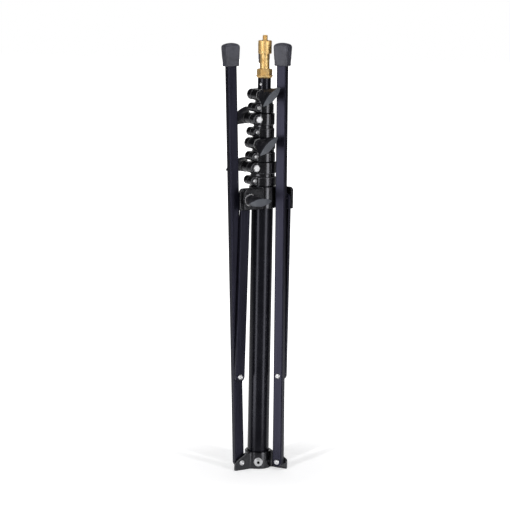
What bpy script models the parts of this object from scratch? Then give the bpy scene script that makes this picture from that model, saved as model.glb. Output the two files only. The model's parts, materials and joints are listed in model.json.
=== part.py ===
# Compact light stand, folded: three legs swing up around a column of five nested tubes,
# a brass spigot stands on the smallest tube, and a slider on the largest one holds the struts.
# The origin is on the column's axis, at the flat underside of the base casting. Metres, +Z up.

import math

import bmesh
import bpy
from mathutils import Matrix

# Driving dimensions: column
TUBE_WALL = 0.0009
TUBE_GAP = 0.0004
MAIN_TUBE_OD = 0.0260
RISER_COUNT = 4
FIT = 0.0003
BORE_SIDES = 32
KNOB_SIDES = 20
PIN_SIDES = 14

# Vertices closer than MERGE are one vertex, and faces that turn less than FLAT_ANGLE are one face.
MERGE = 0.000001
FLAT_ANGLE = math.radians(0.5)

# Driving dimensions: base casting
HUB_RADIUS = 0.0161
HUB_HEIGHT = 0.0206
HUB_FLOOR = 0.0030
EAR_BEYOND_PIVOT = 0.0085
EAR_TIP_HEIGHT = 0.0120
EAR_SLOPE_RUN = 0.0065
EAR_CORNER = 0.0020
EAR_THICKNESS = 0.0040
EDGE = 0.0005

# Driving dimensions: legs, struts and their pivots
LEG_AZIMUTHS = (210.0, 330.0, 90.0)
LEG_REST_LEANS = (2.2, -0.5, 0.6)
LEG_DEPTH = 0.0120
LEG_BREADTH = 0.0080
LEG_WALL = 0.0010
LEG_CORNER = 0.0012
LEG_LENGTH = 0.4970
LEG_COLLAR_GAP = 0.0064
PIVOT_HEIGHT = 0.0095
MID_PIVOT = 0.1068
STRUT_LENGTH = 0.21525
STRUT_DEPTH = 0.0125
STRUT_THICKNESS = 0.0045
STRUT_WEB = 0.0015
STRUT_FLANGE = 0.0015
STRUT_END = 0.0120
RIVET_RADIUS = 0.0025
RIVET_HEAD_RADIUS = 0.0033
RIVET_HEAD_HEIGHT = 0.0015

# Driving dimensions: feet
FOOT_HEIGHT = 0.0270
FOOT_GRIP = 0.0180
FOOT_TOP = (0.0175, 0.0126)
FOOT_BOTTOM = (0.0160, 0.0116)
FOOT_DOME = 0.0042
FOOT_CORNER = 0.0026

# Driving dimensions: slider
SLIDER_RADIUS = 0.0162
SLIDER_BELOW_PIVOT = 0.0125
SLIDER_ABOVE_PIVOT = 0.0135
SLIDER_EAR_BEYOND_PIVOT = 0.0070
SLIDER_EAR_THICKNESS = 0.0035
SLIDER_EAR_CORNER = 0.0045
SLIDER_SLIT = 0.0006
SLIDER_FLANGE_THICKNESS = 0.0040
SLIDER_FLANGE_CHAMFER = 0.0035
FLANGE_FLAT_START = 0.0110
SLIDER_STOP_GAP = 0.0008
SLIDE_GAP = 0.00035

# Driving dimensions: collars and their screws
COLLAR_HEIGHT = 0.0285
COLLAR_WALL = 0.0026
COLLAR_SEAT = 0.0130
FIX_RING_HEIGHT = 0.0105
GROOVE_HEIGHT = 0.0045
GROOVE_DEPTH = 0.0012
LUG_AZIMUTH = 210.0
SCREW_OFFSET = 0.0030
FIX_LUG_RADIUS = 0.0053
FIX_LUG_HEIGHT = 0.0065
FIX_LUG_REACH = 0.0085
CLAMP_LUG_RADIUS = 0.0064
CLAMP_HEAD_REACH = 0.0095
CLAMP_KNOB_REACH = 0.0125
COLLAR_SLIT = 0.0012
SCREW_RADIUS = 0.0020
SCREW_HEAD_RADIUS = 0.0027
SCREW_HEAD_HEIGHT = 0.0016
HEX_RADIUS = 0.0042
HEX_HEIGHT = 0.0032
COLLAR_KNOB_SIDES = (-1, 1, -1, 1)
COLLAR_KNOB_TURNS = (-28.0, 41.0, -45.0, 43.0)

# Driving dimensions: knobs
WASHER_RADIUS = 0.0072
WASHER_THICKNESS = 0.0010
KNOB_HEIGHT = 0.0235
KNOB_BASE_RADIUS = 0.0066
KNOB_BASE_HEIGHT = 0.0035
KNOB_NECK_RADIUS = 0.0052
KNOB_NECK_HEIGHT = 0.0120
KNOB_WING_START = 0.0025
KNOB_WING_LENGTH = 0.0330
KNOB_WING_THICKNESS = 0.0090
KNOB_WING_ROOT = 0.0110
KNOB_THREAD_DEPTH = 0.0090
# The wing's rounded end, as shares of half its length and of the knob's height.
KNOB_CROWN = ((1.0, 0.86), (0.90, 0.97), (0.45, 1.0))
# The share of each face's arc that is drawn, which leaves the wing's edges blunt.
KNOB_LEAF_SHARE = 0.995
SLIDER_KNOB_TURN = 4.0

# Driving dimensions: lower ends of the risers
RISER_STEP = 0.0100
FIRST_RISER_HEIGHT = 0.0180
PLUG_HEIGHT = 0.0060
PLUG_GAP = 0.0003

# Driving dimensions: base bolt
BOLT_HEIGHT = 0.0089
BOLT_RADIUS = 0.0025
BOLT_HEAD_RADIUS = 0.0040
BOLT_HEAD_HEIGHT = 0.0022
BOLT_SOCKET_RADIUS = 0.0019
BOLT_SOCKET_DEPTH = 0.0014
BOLT_END = 0.0090
BOLT_WASHER_RADIUS = 0.0052
SPOT_FACE_DEPTH = 0.0007

# Driving dimensions: spigot on the top riser
SPIGOT_FLANGE_RADIUS = 0.0099
SPIGOT_FLANGE_HEIGHT = 0.0034
SPIGOT_HEX_RADIUS = 0.0092
SPIGOT_HEX_HEIGHT = 0.0070
SPIGOT_NECK_RADIUS = 0.0058
SPIGOT_NECK_HEIGHT = 0.0178
SPIGOT_BODY_RADIUS = 0.0080
SPIGOT_BODY_HEIGHT = 0.0155
SPIGOT_STUD_RADIUS = 0.003175
SPIGOT_STUD_HEIGHT = 0.0063
SPIGOT_TAIL = 0.0180
TOP_RISER_STANDOUT = 0.0125
SPIGOT_PIN_RADIUS = 0.0015
SPIGOT_PIN_HEAD = 0.0020
SPIGOT_PIN_BELOW_TOP = 0.0072
SPIGOT_PIN_AZIMUTH = 238.0

# Sizes that follow from the driving dimensions
TUBE_STEP = 2 * (TUBE_WALL + TUBE_GAP)
TUBE_RADII = [MAIN_TUBE_OD / 2 - i * TUBE_STEP / 2 for i in range(RISER_COUNT + 1)]
LEG_SIDE = LEG_BREADTH / 2
PIVOT_RADIUS = TUBE_RADII[0] + COLLAR_WALL + LEG_COLLAR_GAP + LEG_DEPTH / 2
EAR_REACH = PIVOT_RADIUS + EAR_BEYOND_PIVOT
EAR_SLOPE_START = HUB_RADIUS + EAR_SLOPE_RUN
SLIDER_EAR_REACH = PIVOT_RADIUS + SLIDER_EAR_BEYOND_PIVOT
STRUT_INNER = LEG_SIDE + FIT
STRUT_OUTER = STRUT_INNER + STRUT_THICKNESS
EAR_INNER = LEG_SIDE + FIT
EAR_OUTER = EAR_INNER + EAR_THICKNESS
SLIDER_EAR_INNER = STRUT_OUTER + FIT
SLIDER_EAR_OUTER = SLIDER_EAR_INNER + SLIDER_EAR_THICKNESS
FLANGE_INNER = SLIDER_EAR_OUTER + SLIDER_SLIT
FLANGE_OUTER = FLANGE_INNER + SLIDER_FLANGE_THICKNESS
SLIDER_PIVOT_HEIGHT = PIVOT_HEIGHT + MID_PIVOT + STRUT_LENGTH
SLIDER_BOTTOM = SLIDER_PIVOT_HEIGHT - SLIDER_BELOW_PIVOT
SLIDER_TOP = SLIDER_PIVOT_HEIGHT + SLIDER_ABOVE_PIVOT
SLIDER_BORE = TUBE_RADII[0] + SLIDE_GAP
FIRST_COLLAR = SLIDER_TOP + SLIDER_STOP_GAP
COLLAR_PITCH = COLLAR_HEIGHT + FIT
COLLAR_BOTTOMS = [FIRST_COLLAR + i * COLLAR_PITCH for i in range(RISER_COUNT)]
CLAMP_LUG_HEIGHT = COLLAR_HEIGHT - CLAMP_LUG_RADIUS - EDGE / 2
MAIN_TUBE_BOTTOM = HUB_FLOOR + FIT
RISER_BOTTOMS = [FIRST_RISER_HEIGHT + i * RISER_STEP for i in range(RISER_COUNT)]
TUBE_TOPS = [bottom + COLLAR_SEAT - FIT for bottom in COLLAR_BOTTOMS]
TUBE_TOPS.append(COLLAR_BOTTOMS[-1] + COLLAR_HEIGHT + TOP_RISER_STANDOUT)
PLUG_FLANGE = RISER_STEP - PLUG_HEIGHT - 2 * PLUG_GAP
PIN_HOLE = RIVET_RADIUS + FIT
SCREW_HOLE = SCREW_RADIUS + FIT
SPIGOT_BOTTOM = TUBE_TOPS[-1] + FIT
SPIGOT_PIN_HEIGHT = TUBE_TOPS[-1] - SPIGOT_PIN_BELOW_TOP
OVERCUT = 0.0010

ALONG_Y = (-math.pi / 2, 0.0, 0.0)
ALONG_MINUS_Y = (math.pi / 2, 0.0, 0.0)
ALONG_X = (0.0, math.pi / 2, 0.0)
UPRIGHT = (0.0, 0.0, 0.0)


# Scene and collections
for old in list(bpy.data.objects):
    bpy.data.objects.remove(old, do_unlink=True)

parts = bpy.data.collections.new("compact_light_stand")
cutters = bpy.data.collections.new("cutters")
bpy.context.scene.collection.children.link(parts)
bpy.context.scene.collection.children.link(cutters)

FINISHES = {
    "black_anodised": ((0.020, 0.020, 0.028), 0.30, 0.6),
    "black_paint": ((0.024, 0.024, 0.032), 0.42, 0.2),
    "black_casting": ((0.018, 0.018, 0.020), 0.50, 0.1),
    "black_plastic": ((0.030, 0.031, 0.034), 0.55, 0.0),
    "black_rubber": ((0.035, 0.035, 0.038), 0.80, 0.0),
    "bright_steel": ((0.62, 0.62, 0.64), 0.28, 1.0),
    "brass": ((0.72, 0.50, 0.20), 0.25, 1.0),
    "white_nylon": ((0.62, 0.61, 0.58), 0.50, 0.0),
}


def finish(obj, kind):
    """Give a sub-part its own Principled material of one of the named finishes."""
    colour, roughness, metallic = FINISHES[kind]
    material = bpy.data.materials.new(obj.name)
    material.use_nodes = True
    shader = material.node_tree.nodes["Principled BSDF"]
    shader.inputs["Base Color"].default_value = (*colour, 1.0)
    shader.inputs["Roughness"].default_value = roughness
    shader.inputs["Metallic"].default_value = metallic
    obj.data.materials.clear()
    obj.data.materials.append(material)
    return obj


# Placing
def frame(name, parent=None, location=(0, 0, 0), rotation=UPRIGHT):
    """An empty that carries the pieces of one arm, lug or hinge."""
    empty = bpy.data.objects.new(name, None)
    empty.empty_display_size = HUB_HEIGHT
    empty.parent = parent
    empty.location = location
    empty.rotation_euler = rotation
    parts.objects.link(empty)
    return empty


def place(obj, parent, location, rotation, collection):
    obj.parent = parent
    obj.location = location
    obj.rotation_euler = rotation
    collection.objects.link(obj)
    return obj


# Shapes
def solid(name, bm, parent, location=(0, 0, 0), rotation=UPRIGHT):
    mesh = bpy.data.meshes.new(name)
    bm.to_mesh(mesh)
    bm.free()
    mesh.shade_smooth()
    mesh.set_sharp_from_angle(angle=math.radians(35))
    return place(bpy.data.objects.new(name, mesh), parent, location, rotation, parts)


def cylinder(name, radius, start, end, parent, location=(0, 0, 0), rotation=ALONG_Y, sides=PIN_SIDES):
    """A round bar from start to end along the turned local Z axis, none of its edges on a mid plane."""
    bm = bmesh.new()
    quarter_side = Matrix.Rotation(math.pi / (2 * sides), 4, "Z")
    bmesh.ops.create_cone(
        bm, cap_ends=True, segments=sides, radius1=radius, radius2=radius, depth=end - start, matrix=quarter_side
    )
    bmesh.ops.translate(bm, vec=(0, 0, (start + end) / 2), verts=bm.verts)
    return solid(name, bm, parent, location, rotation)


def block(name, low, high, parent, location=(0, 0, 0), rotation=UPRIGHT, corner=0.0):
    """A box between two corners, its edges along Z rounded where a corner radius is given."""
    bm = bmesh.new()
    bmesh.ops.create_cube(bm, size=1.0)
    for axis in range(3):
        for vert in bm.verts:
            vert.co[axis] = low[axis] if vert.co[axis] < 0 else high[axis]
    if corner > 0:
        upright = [e for e in bm.edges if abs(e.verts[0].co.z - e.verts[1].co.z) > corner]
        bmesh.ops.bevel(bm, geom=upright, offset=corner, segments=2, profile=0.5, affect="EDGES")
    return solid(name, bm, parent, location, rotation)


def turned(name, profile, parent, location=(0, 0, 0), rotation=UPRIGHT, sides=BORE_SIDES, ring=False):
    """A turned piece: (radius, height) points run down the outer side, and back up a bore in a ring."""
    mesh = bpy.data.meshes.new(name)
    points = [(radius, 0.0, height) for radius, height in profile]
    edges = [(i, i + 1) for i in range(len(points) - 1)]
    if ring:
        edges.append((len(points) - 1, 0))
    mesh.from_pydata(points, edges, [])
    obj = place(bpy.data.objects.new(name, mesh), parent, location, rotation, parts)
    screw = obj.modifiers.new("turn", "SCREW")
    screw.axis = "Z"
    screw.steps = sides
    screw.render_steps = sides
    screw.use_merge_vertices = True
    screw.merge_threshold = MERGE
    screw.use_smooth_shade = True
    return obj


def prism(name, outline, thickness, parent, location=(0, 0, 0), rotation=ALONG_MINUS_Y):
    """A flat outline filled on both sides, then made a mesh; its middle plane is at the location."""
    curve = bpy.data.curves.new(name + "_outline", "CURVE")
    curve.dimensions = "2D"
    curve.fill_mode = "BOTH"
    curve.extrude = thickness / 2
    spline = curve.splines.new("POLY")
    spline.points.add(len(outline) - 1)
    for point, (x, y) in zip(spline.points, outline):
        point.co = (x, y, 0.0, 1.0)
    spline.use_cyclic_u = True
    drawn = place(bpy.data.objects.new(name + "_outline", curve), parent, location, rotation, cutters)
    evaluated = drawn.evaluated_get(bpy.context.evaluated_depsgraph_get())
    mesh = bpy.data.meshes.new_from_object(evaluated)
    bm = bmesh.new()
    bm.from_mesh(mesh)
    bpy.data.meshes.remove(mesh)
    bmesh.ops.remove_doubles(bm, verts=bm.verts, dist=MERGE)
    bmesh.ops.dissolve_limit(bm, angle_limit=FLAT_ANGLE, verts=bm.verts, edges=bm.edges)
    bpy.data.objects.remove(drawn, do_unlink=True)
    return solid(name, bm, parent, location, rotation)


def arc(cx, cy, radius, start, end, steps):
    """Points on an arc about (cx, cy), from one angle to another in degrees."""
    turns = [math.radians(start + (end - start) * i / steps) for i in range(steps + 1)]
    return [(cx + radius * math.cos(a), cy + radius * math.sin(a)) for a in turns]


def dome(radius, base, height, steps=3):
    """Profile points of a domed head, from its crown on the axis to its rim."""
    turns = [math.pi / 2 * i / steps for i in range(steps + 1)]
    return [(radius * math.sin(a), base + height * math.cos(a)) for a in turns]


def bowl(radius, base, height, steps=3):
    """Profile points of a domed head that faces down, from its rim to its crown on the axis."""
    turns = [math.pi / 2 * i / steps for i in range(steps + 1)]
    return [(radius * math.cos(a), base - height * math.sin(a)) for a in turns]


def apply_tool(obj, tool, operation):
    """Join, cut or trim a piece with another object, which becomes a hidden cutter."""
    if tool.name in parts.objects:
        parts.objects.unlink(tool)
        cutters.objects.link(tool)
    tool.hide_render = True
    tool.display_type = "WIRE"
    modifier = obj.modifiers.new(tool.name, "BOOLEAN")
    modifier.operation = operation
    modifier.solver = "EXACT"
    modifier.object = tool


def cut(obj, *tools):
    for tool in tools:
        apply_tool(obj, tool, "DIFFERENCE")


def join(obj, *tools):
    for tool in tools:
        apply_tool(obj, tool, "UNION")


def trim(obj, tool):
    apply_tool(obj, tool, "INTERSECT")


# Frames of the three arms and of the collar lugs: local X points outward, local Y is the screw axis
def azimuth_frame(name, degrees):
    return frame(name, rotation=(0, 0, math.radians(degrees)))


arms = [azimuth_frame(f"arm_frame_{i + 1}", azimuth) for i, azimuth in enumerate(LEG_AZIMUTHS)]
lug_side = azimuth_frame("lug_frame", LUG_AZIMUTH)
bolt_side = azimuth_frame("bolt_frame", 270.0)
pin_side = azimuth_frame("pin_frame", SPIGOT_PIN_AZIMUTH)


# Base casting: a hub with a floor under the main tube and three ears beside the legs
def base_casting():
    casting = turned(
        "base_casting",
        [
            (0, HUB_HEIGHT),
            (HUB_RADIUS - EDGE, HUB_HEIGHT),
            (HUB_RADIUS, HUB_HEIGHT - EDGE),
            (HUB_RADIUS, EDGE),
            (HUB_RADIUS - EDGE, 0),
            (0, 0),
        ],
        None,
    )
    tip = EAR_REACH - EAR_CORNER
    outline = [
        (HUB_RADIUS / 2, 0),
        (EAR_REACH, 0),
        *arc(tip, EAR_TIP_HEIGHT - EAR_CORNER, EAR_CORNER, 0, 60, 4),
        (EAR_SLOPE_START, HUB_HEIGHT - EDGE),
        (HUB_RADIUS / 2, HUB_HEIGHT - EDGE),
    ]
    middle = (EAR_INNER + EAR_OUTER) / 2
    for number, arm in enumerate(arms, 1):
        join(casting, prism(f"base_ear_{number}", outline, EAR_THICKNESS, arm, (0, middle, 0)))
    bore = cylinder(
        "hub_bore", TUBE_RADII[0] + FIT, HUB_FLOOR, HUB_HEIGHT + OVERCUT, None, rotation=UPRIGHT, sides=BORE_SIDES
    )
    cut(casting, bore)
    for number, arm in enumerate(arms, 1):
        at = (PIVOT_RADIUS, 0, PIVOT_HEIGHT)
        cut(casting, cylinder(f"ear_hole_{number}", PIN_HOLE, LEG_SIDE, EAR_OUTER + OVERCUT, arm, at))
    seat = HUB_RADIUS - SPOT_FACE_DEPTH
    at = (0, 0, BOLT_HEIGHT)
    spot = BOLT_WASHER_RADIUS + FIT
    cut(
        casting,
        cylinder("spot_face", spot, seat, HUB_RADIUS + OVERCUT, bolt_side, at, ALONG_X),
        cylinder("bolt_hole", BOLT_RADIUS + FIT, 0, HUB_RADIUS + OVERCUT, bolt_side, at, ALONG_X),
    )
    return finish(casting, "black_casting")


def base_bolt():
    """A socket-head bolt with a plain washer, from the front of the hub into the main tube."""
    seat = HUB_RADIUS - SPOT_FACE_DEPTH + FIT
    top = seat + WASHER_THICKNESS + FIT
    at = (0, 0, BOLT_HEIGHT)
    washer = turned(
        "base_washer",
        [
            (BOLT_WASHER_RADIUS, seat + WASHER_THICKNESS),
            (BOLT_WASHER_RADIUS, seat),
            (BOLT_RADIUS + FIT, seat),
            (BOLT_RADIUS + FIT, seat + WASHER_THICKNESS),
        ],
        bolt_side, at, ALONG_X, PIN_SIDES, ring=True,
    )
    finish(washer, "bright_steel")
    bolt = turned(
        "base_bolt",
        [
            (0, top + BOLT_HEAD_HEIGHT),
            (BOLT_HEAD_RADIUS - 2 * EDGE, top + BOLT_HEAD_HEIGHT),
            (BOLT_HEAD_RADIUS, top + BOLT_HEAD_HEIGHT - 2 * EDGE),
            (BOLT_HEAD_RADIUS, top),
            (BOLT_RADIUS, top),
            (BOLT_RADIUS, BOLT_END),
            (0, BOLT_END),
        ],
        bolt_side, at, ALONG_X, PIN_SIDES,
    )
    socket_floor = top + BOLT_HEAD_HEIGHT - BOLT_SOCKET_DEPTH
    socket_mouth = top + BOLT_HEAD_HEIGHT + OVERCUT
    cut(bolt, cylinder("socket", BOLT_SOCKET_RADIUS, socket_floor, socket_mouth, bolt_side, at, ALONG_X, 6))
    finish(bolt, "bright_steel")


# Column: the main tube and four risers, each with a nylon end plug
def tube(name, radius, bottom, top):
    inner = radius - TUBE_WALL
    piece = turned(
        name, [(radius, top), (radius, bottom), (inner, bottom), (inner, top)], None, ring=True
    )
    return finish(piece, "black_anodised")


def column():
    main = tube("main_tube", TUBE_RADII[0], MAIN_TUBE_BOTTOM, TUBE_TOPS[0])
    at = (0, 0, BOLT_HEIGHT)
    cut(main, cylinder("tube_bolt_hole", BOLT_RADIUS + FIT, 0, HUB_RADIUS, bolt_side, at, ALONG_X))
    for i in range(RISER_COUNT):
        riser = tube(f"riser_{i + 1}", TUBE_RADII[i + 1], RISER_BOTTOMS[i], TUBE_TOPS[i + 1])
        if i == RISER_COUNT - 1:
            cut(riser, spigot_pin_hole("riser_pin_hole"))
        end_plug(i)


def end_plug(i):
    """A plug in a riser's lower end, with a flange that guides it in the tube outside it."""
    inside = TUBE_RADII[i + 1] - TUBE_WALL - FIT
    guide = TUBE_RADII[i] - TUBE_WALL - SLIDE_GAP
    top = RISER_BOTTOMS[i] + PLUG_HEIGHT
    shoulder = RISER_BOTTOMS[i] - PLUG_GAP
    bottom = shoulder - PLUG_FLANGE
    plug = turned(
        f"riser_plug_{i + 1}",
        [(0, top), (inside, top), (inside, shoulder), (guide, shoulder), (guide, bottom), (0, bottom)],
        None,
    )
    finish(plug, "white_nylon")


def spigot_pin_hole(name):
    reach = TUBE_RADII[-1] + OVERCUT
    at = (0, 0, SPIGOT_PIN_HEIGHT)
    return cylinder(name, SPIGOT_PIN_RADIUS + FIT, -reach, reach, pin_side, at, ALONG_X)


def spigot():
    """The brass spigot: flange, hexagon, neck, 16 mm body and a stud, with a tail in the top riser."""
    flange_top = SPIGOT_BOTTOM + SPIGOT_FLANGE_HEIGHT
    hex_top = flange_top + SPIGOT_HEX_HEIGHT
    neck_top = hex_top + SPIGOT_NECK_HEIGHT
    body_top = neck_top + SPIGOT_BODY_HEIGHT
    stud_top = body_top + SPIGOT_STUD_HEIGHT
    tail = TUBE_RADII[-1] - TUBE_WALL - FIT
    piece = turned(
        "spigot",
        [
            (0, stud_top),
            (SPIGOT_STUD_RADIUS - EDGE, stud_top),
            (SPIGOT_STUD_RADIUS, stud_top - EDGE),
            (SPIGOT_STUD_RADIUS, body_top),
            (SPIGOT_BODY_RADIUS - EDGE, body_top),
            (SPIGOT_BODY_RADIUS, body_top - EDGE),
            (SPIGOT_BODY_RADIUS, neck_top + EDGE),
            (SPIGOT_BODY_RADIUS - EDGE, neck_top),
            (SPIGOT_NECK_RADIUS, neck_top),
            (SPIGOT_NECK_RADIUS, flange_top + EDGE),
            (SPIGOT_HEX_RADIUS, flange_top),
            (SPIGOT_FLANGE_RADIUS, flange_top - EDGE),
            (SPIGOT_FLANGE_RADIUS, SPIGOT_BOTTOM + EDGE),
            (SPIGOT_FLANGE_RADIUS - EDGE, SPIGOT_BOTTOM),
            (tail, SPIGOT_BOTTOM),
            (tail, SPIGOT_BOTTOM - SPIGOT_TAIL),
            (0, SPIGOT_BOTTOM - SPIGOT_TAIL),
        ],
        None,
    )
    hexagon = cylinder(
        "spigot_hexagon", SPIGOT_HEX_RADIUS, flange_top - EDGE, hex_top, None, rotation=UPRIGHT, sides=6
    )
    join(piece, hexagon)
    cut(piece, spigot_pin_hole("spigot_pin_hole"))
    finish(piece, "brass")

    seat = TUBE_RADII[-1] + FIT
    pin = turned(
        "spigot_pin",
        [
            *dome(SPIGOT_PIN_HEAD, seat, SPIGOT_PIN_HEAD / 2, 3),
            (SPIGOT_PIN_RADIUS, seat),
            (SPIGOT_PIN_RADIUS, -seat),
            *bowl(SPIGOT_PIN_HEAD, -seat, SPIGOT_PIN_HEAD / 2, 3),
        ],
        pin_side, (0, 0, SPIGOT_PIN_HEIGHT), ALONG_X, PIN_SIDES,
    )
    finish(pin, "bright_steel")


# Collars: each holds the tube below in its lower ring and clamps the riser in its upper ring
def lug(name, radius, height, near, far, reach, hollow):
    """A lug with a round end about the screw axis, cut hollow so that it meets the ring's wall."""
    root = TUBE_RADII[-1] / 2
    outline = [(root, -radius), *arc(reach, 0, radius, -90, 90, 10), (root, radius)]
    middle = (near + far) / 2
    piece = prism(name, outline, far - near, lug_side, (0, middle, height))
    ends = (height - 2 * radius, height + 2 * radius)
    cut(piece, cylinder(name + "_hollow", hollow, *ends, None, rotation=UPRIGHT, sides=BORE_SIDES))
    return piece


def collar(i):
    number = i + 1
    side = COLLAR_KNOB_SIDES[i]
    bottom = COLLAR_BOTTOMS[i]
    outer = TUBE_RADII[i] + COLLAR_WALL
    waist = outer - GROOVE_DEPTH
    groove_top = FIX_RING_HEIGHT + GROOVE_HEIGHT
    low_bore = TUBE_RADII[i] + FIT
    high_bore = TUBE_RADII[i + 1] + FIT
    reach = TUBE_RADII[i] + SCREW_OFFSET
    piece = turned(
        f"collar_{number}",
        [
            (outer - 2 * EDGE, COLLAR_HEIGHT),
            (outer, COLLAR_HEIGHT - 2 * EDGE),
            (outer, groove_top),
            (waist, groove_top - EDGE),
            (waist, FIX_RING_HEIGHT + EDGE),
            (outer, FIX_RING_HEIGHT),
            (outer, EDGE),
            (outer - EDGE, 0),
            (low_bore, 0),
            (low_bore, COLLAR_SEAT),
            (high_bore, COLLAR_SEAT),
            (high_bore, COLLAR_HEIGHT),
        ],
        None, (0, 0, bottom), ring=True,
    )
    clamp_ends = sorted((-side * CLAMP_HEAD_REACH, side * CLAMP_KNOB_REACH))
    clamp_at = (reach, 0, bottom + CLAMP_LUG_HEIGHT)
    fix_at = (reach, 0, bottom + FIX_LUG_HEIGHT)
    fix_ends = (-CLAMP_HEAD_REACH, FIX_LUG_REACH)
    hollow = (low_bore + waist) / 2
    join(
        piece,
        lug(f"clamp_lug_{number}", CLAMP_LUG_RADIUS, clamp_at[2], *clamp_ends, reach, hollow),
        lug(f"fix_lug_{number}", FIX_LUG_RADIUS, fix_at[2], *fix_ends, reach, hollow),
    )
    top = bottom + COLLAR_HEIGHT + OVERCUT
    slit_end = reach + CLAMP_LUG_RADIUS + OVERCUT
    half_slit = COLLAR_SLIT / 2
    through = CLAMP_KNOB_REACH + OVERCUT
    cut(
        piece,
        block(f"slit_{number}", (0, -half_slit, bottom - OVERCUT), (slit_end, half_slit, top), lug_side),
        cylinder(f"clamp_hole_{number}", SCREW_HOLE, -through, through, lug_side, clamp_at),
        cylinder(f"fix_hole_{number}", SCREW_HOLE, -through, through, lug_side, fix_at),
    )
    finish(piece, "black_casting")
    fixing_screw(number, fix_at)
    knob_base = clamp_bolt(number, side, clamp_at)
    clamp_knob(f"clamp_knob_{number}", side, (reach, knob_base, clamp_at[2]), COLLAR_KNOB_TURNS[i])


def fixing_screw(number, at):
    """A pan-head screw that pinches the lower ring on its tube, its head on the front."""
    head = FIX_LUG_REACH + FIT
    screw = turned(
        f"fixing_screw_{number}",
        [
            *dome(SCREW_HEAD_RADIUS, head, SCREW_HEAD_HEIGHT),
            (SCREW_RADIUS, head),
            (SCREW_RADIUS, -CLAMP_HEAD_REACH),
            (0, -CLAMP_HEAD_REACH),
        ],
        lug_side, at, ALONG_Y, PIN_SIDES,
    )
    finish(screw, "bright_steel")


def clamp_bolt(number, side, at):
    """The hexagon bolt of a collar's clamp with its washer; returns the knob's seat along the axis."""
    along = ALONG_Y if side > 0 else ALONG_MINUS_Y
    head = -CLAMP_HEAD_REACH - FIT
    washer_base = CLAMP_KNOB_REACH + FIT
    knob_base = washer_base + WASHER_THICKNESS + FIT
    end = knob_base + KNOB_THREAD_DEPTH - 2 * FIT
    bolt = cylinder(f"clamp_bolt_{number}", SCREW_RADIUS, head - HEX_HEIGHT / 2, end, lug_side, at, along)
    join(bolt, cylinder(f"hexagon_{number}", HEX_RADIUS, head - HEX_HEIGHT, head, lug_side, at, along, 6))
    finish(bolt, "bright_steel")
    knob_washer(f"knob_washer_{number}", lug_side, at, along, washer_base, SCREW_HOLE)
    return side * knob_base


def knob_washer(name, parent, at, along, base, hole):
    top = base + WASHER_THICKNESS
    washer = turned(
        name, [(WASHER_RADIUS, top), (WASHER_RADIUS, base), (hole, base), (hole, top)],
        parent, at, along, 24, ring=True,
    )
    finish(washer, "bright_steel")


# Wing knobs: a round base and a fan-shaped wing whose outer face is a leaf
def clamp_knob(name, side, at, turn, thread=SCREW_HOLE):
    along = ALONG_Y if side > 0 else ALONG_MINUS_Y
    axis = frame(name + "_axis", lug_side, at, along)
    turned_to = (0, 0, math.radians(turn))
    half = KNOB_WING_LENGTH / 2
    root = KNOB_WING_ROOT / 2
    knob = turned(
        name,
        [
            (0, KNOB_NECK_HEIGHT),
            (KNOB_NECK_RADIUS, KNOB_NECK_HEIGHT),
            (KNOB_NECK_RADIUS, KNOB_BASE_HEIGHT + EDGE),
            (KNOB_BASE_RADIUS, KNOB_BASE_HEIGHT),
            (KNOB_BASE_RADIUS, 0),
            (0, 0),
        ],
        axis,
        rotation=turned_to,
        sides=KNOB_SIDES,
    )
    crown = [(half * out, KNOB_HEIGHT * up) for out, up in KNOB_CROWN]
    mirrored = [(-out, up) for out, up in reversed(crown)]
    fan = [(-root, KNOB_WING_START), (root, KNOB_WING_START), *crown, *mirrored]
    wing = prism(name + "_fan", fan, KNOB_WING_THICKNESS + 2 * OVERCUT, axis)
    bulge = KNOB_WING_THICKNESS / 2
    radius = (half**2 + bulge**2) / (2 * bulge)
    sweep = math.degrees(math.asin(half / radius)) * KNOB_LEAF_SHARE
    leaf = [
        *arc(0, bulge - radius, radius, 90 - sweep, 90 + sweep, 8),
        *arc(0, radius - bulge, radius, 270 - sweep, 270 + sweep, 8),
    ]
    trimmer = prism(name + "_leaf", leaf, 2 * KNOB_HEIGHT + 4 * OVERCUT, axis, rotation=UPRIGHT)
    wing.rotation_euler.z = turned_to[2]
    trimmer.rotation_euler.z = turned_to[2]
    trim(wing, trimmer)
    join(knob, wing)
    bore = cylinder(name + "_bore", thread, -OVERCUT, KNOB_THREAD_DEPTH, axis, rotation=UPRIGHT)
    cut(knob, bore)
    return finish(knob, "black_plastic")


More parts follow.
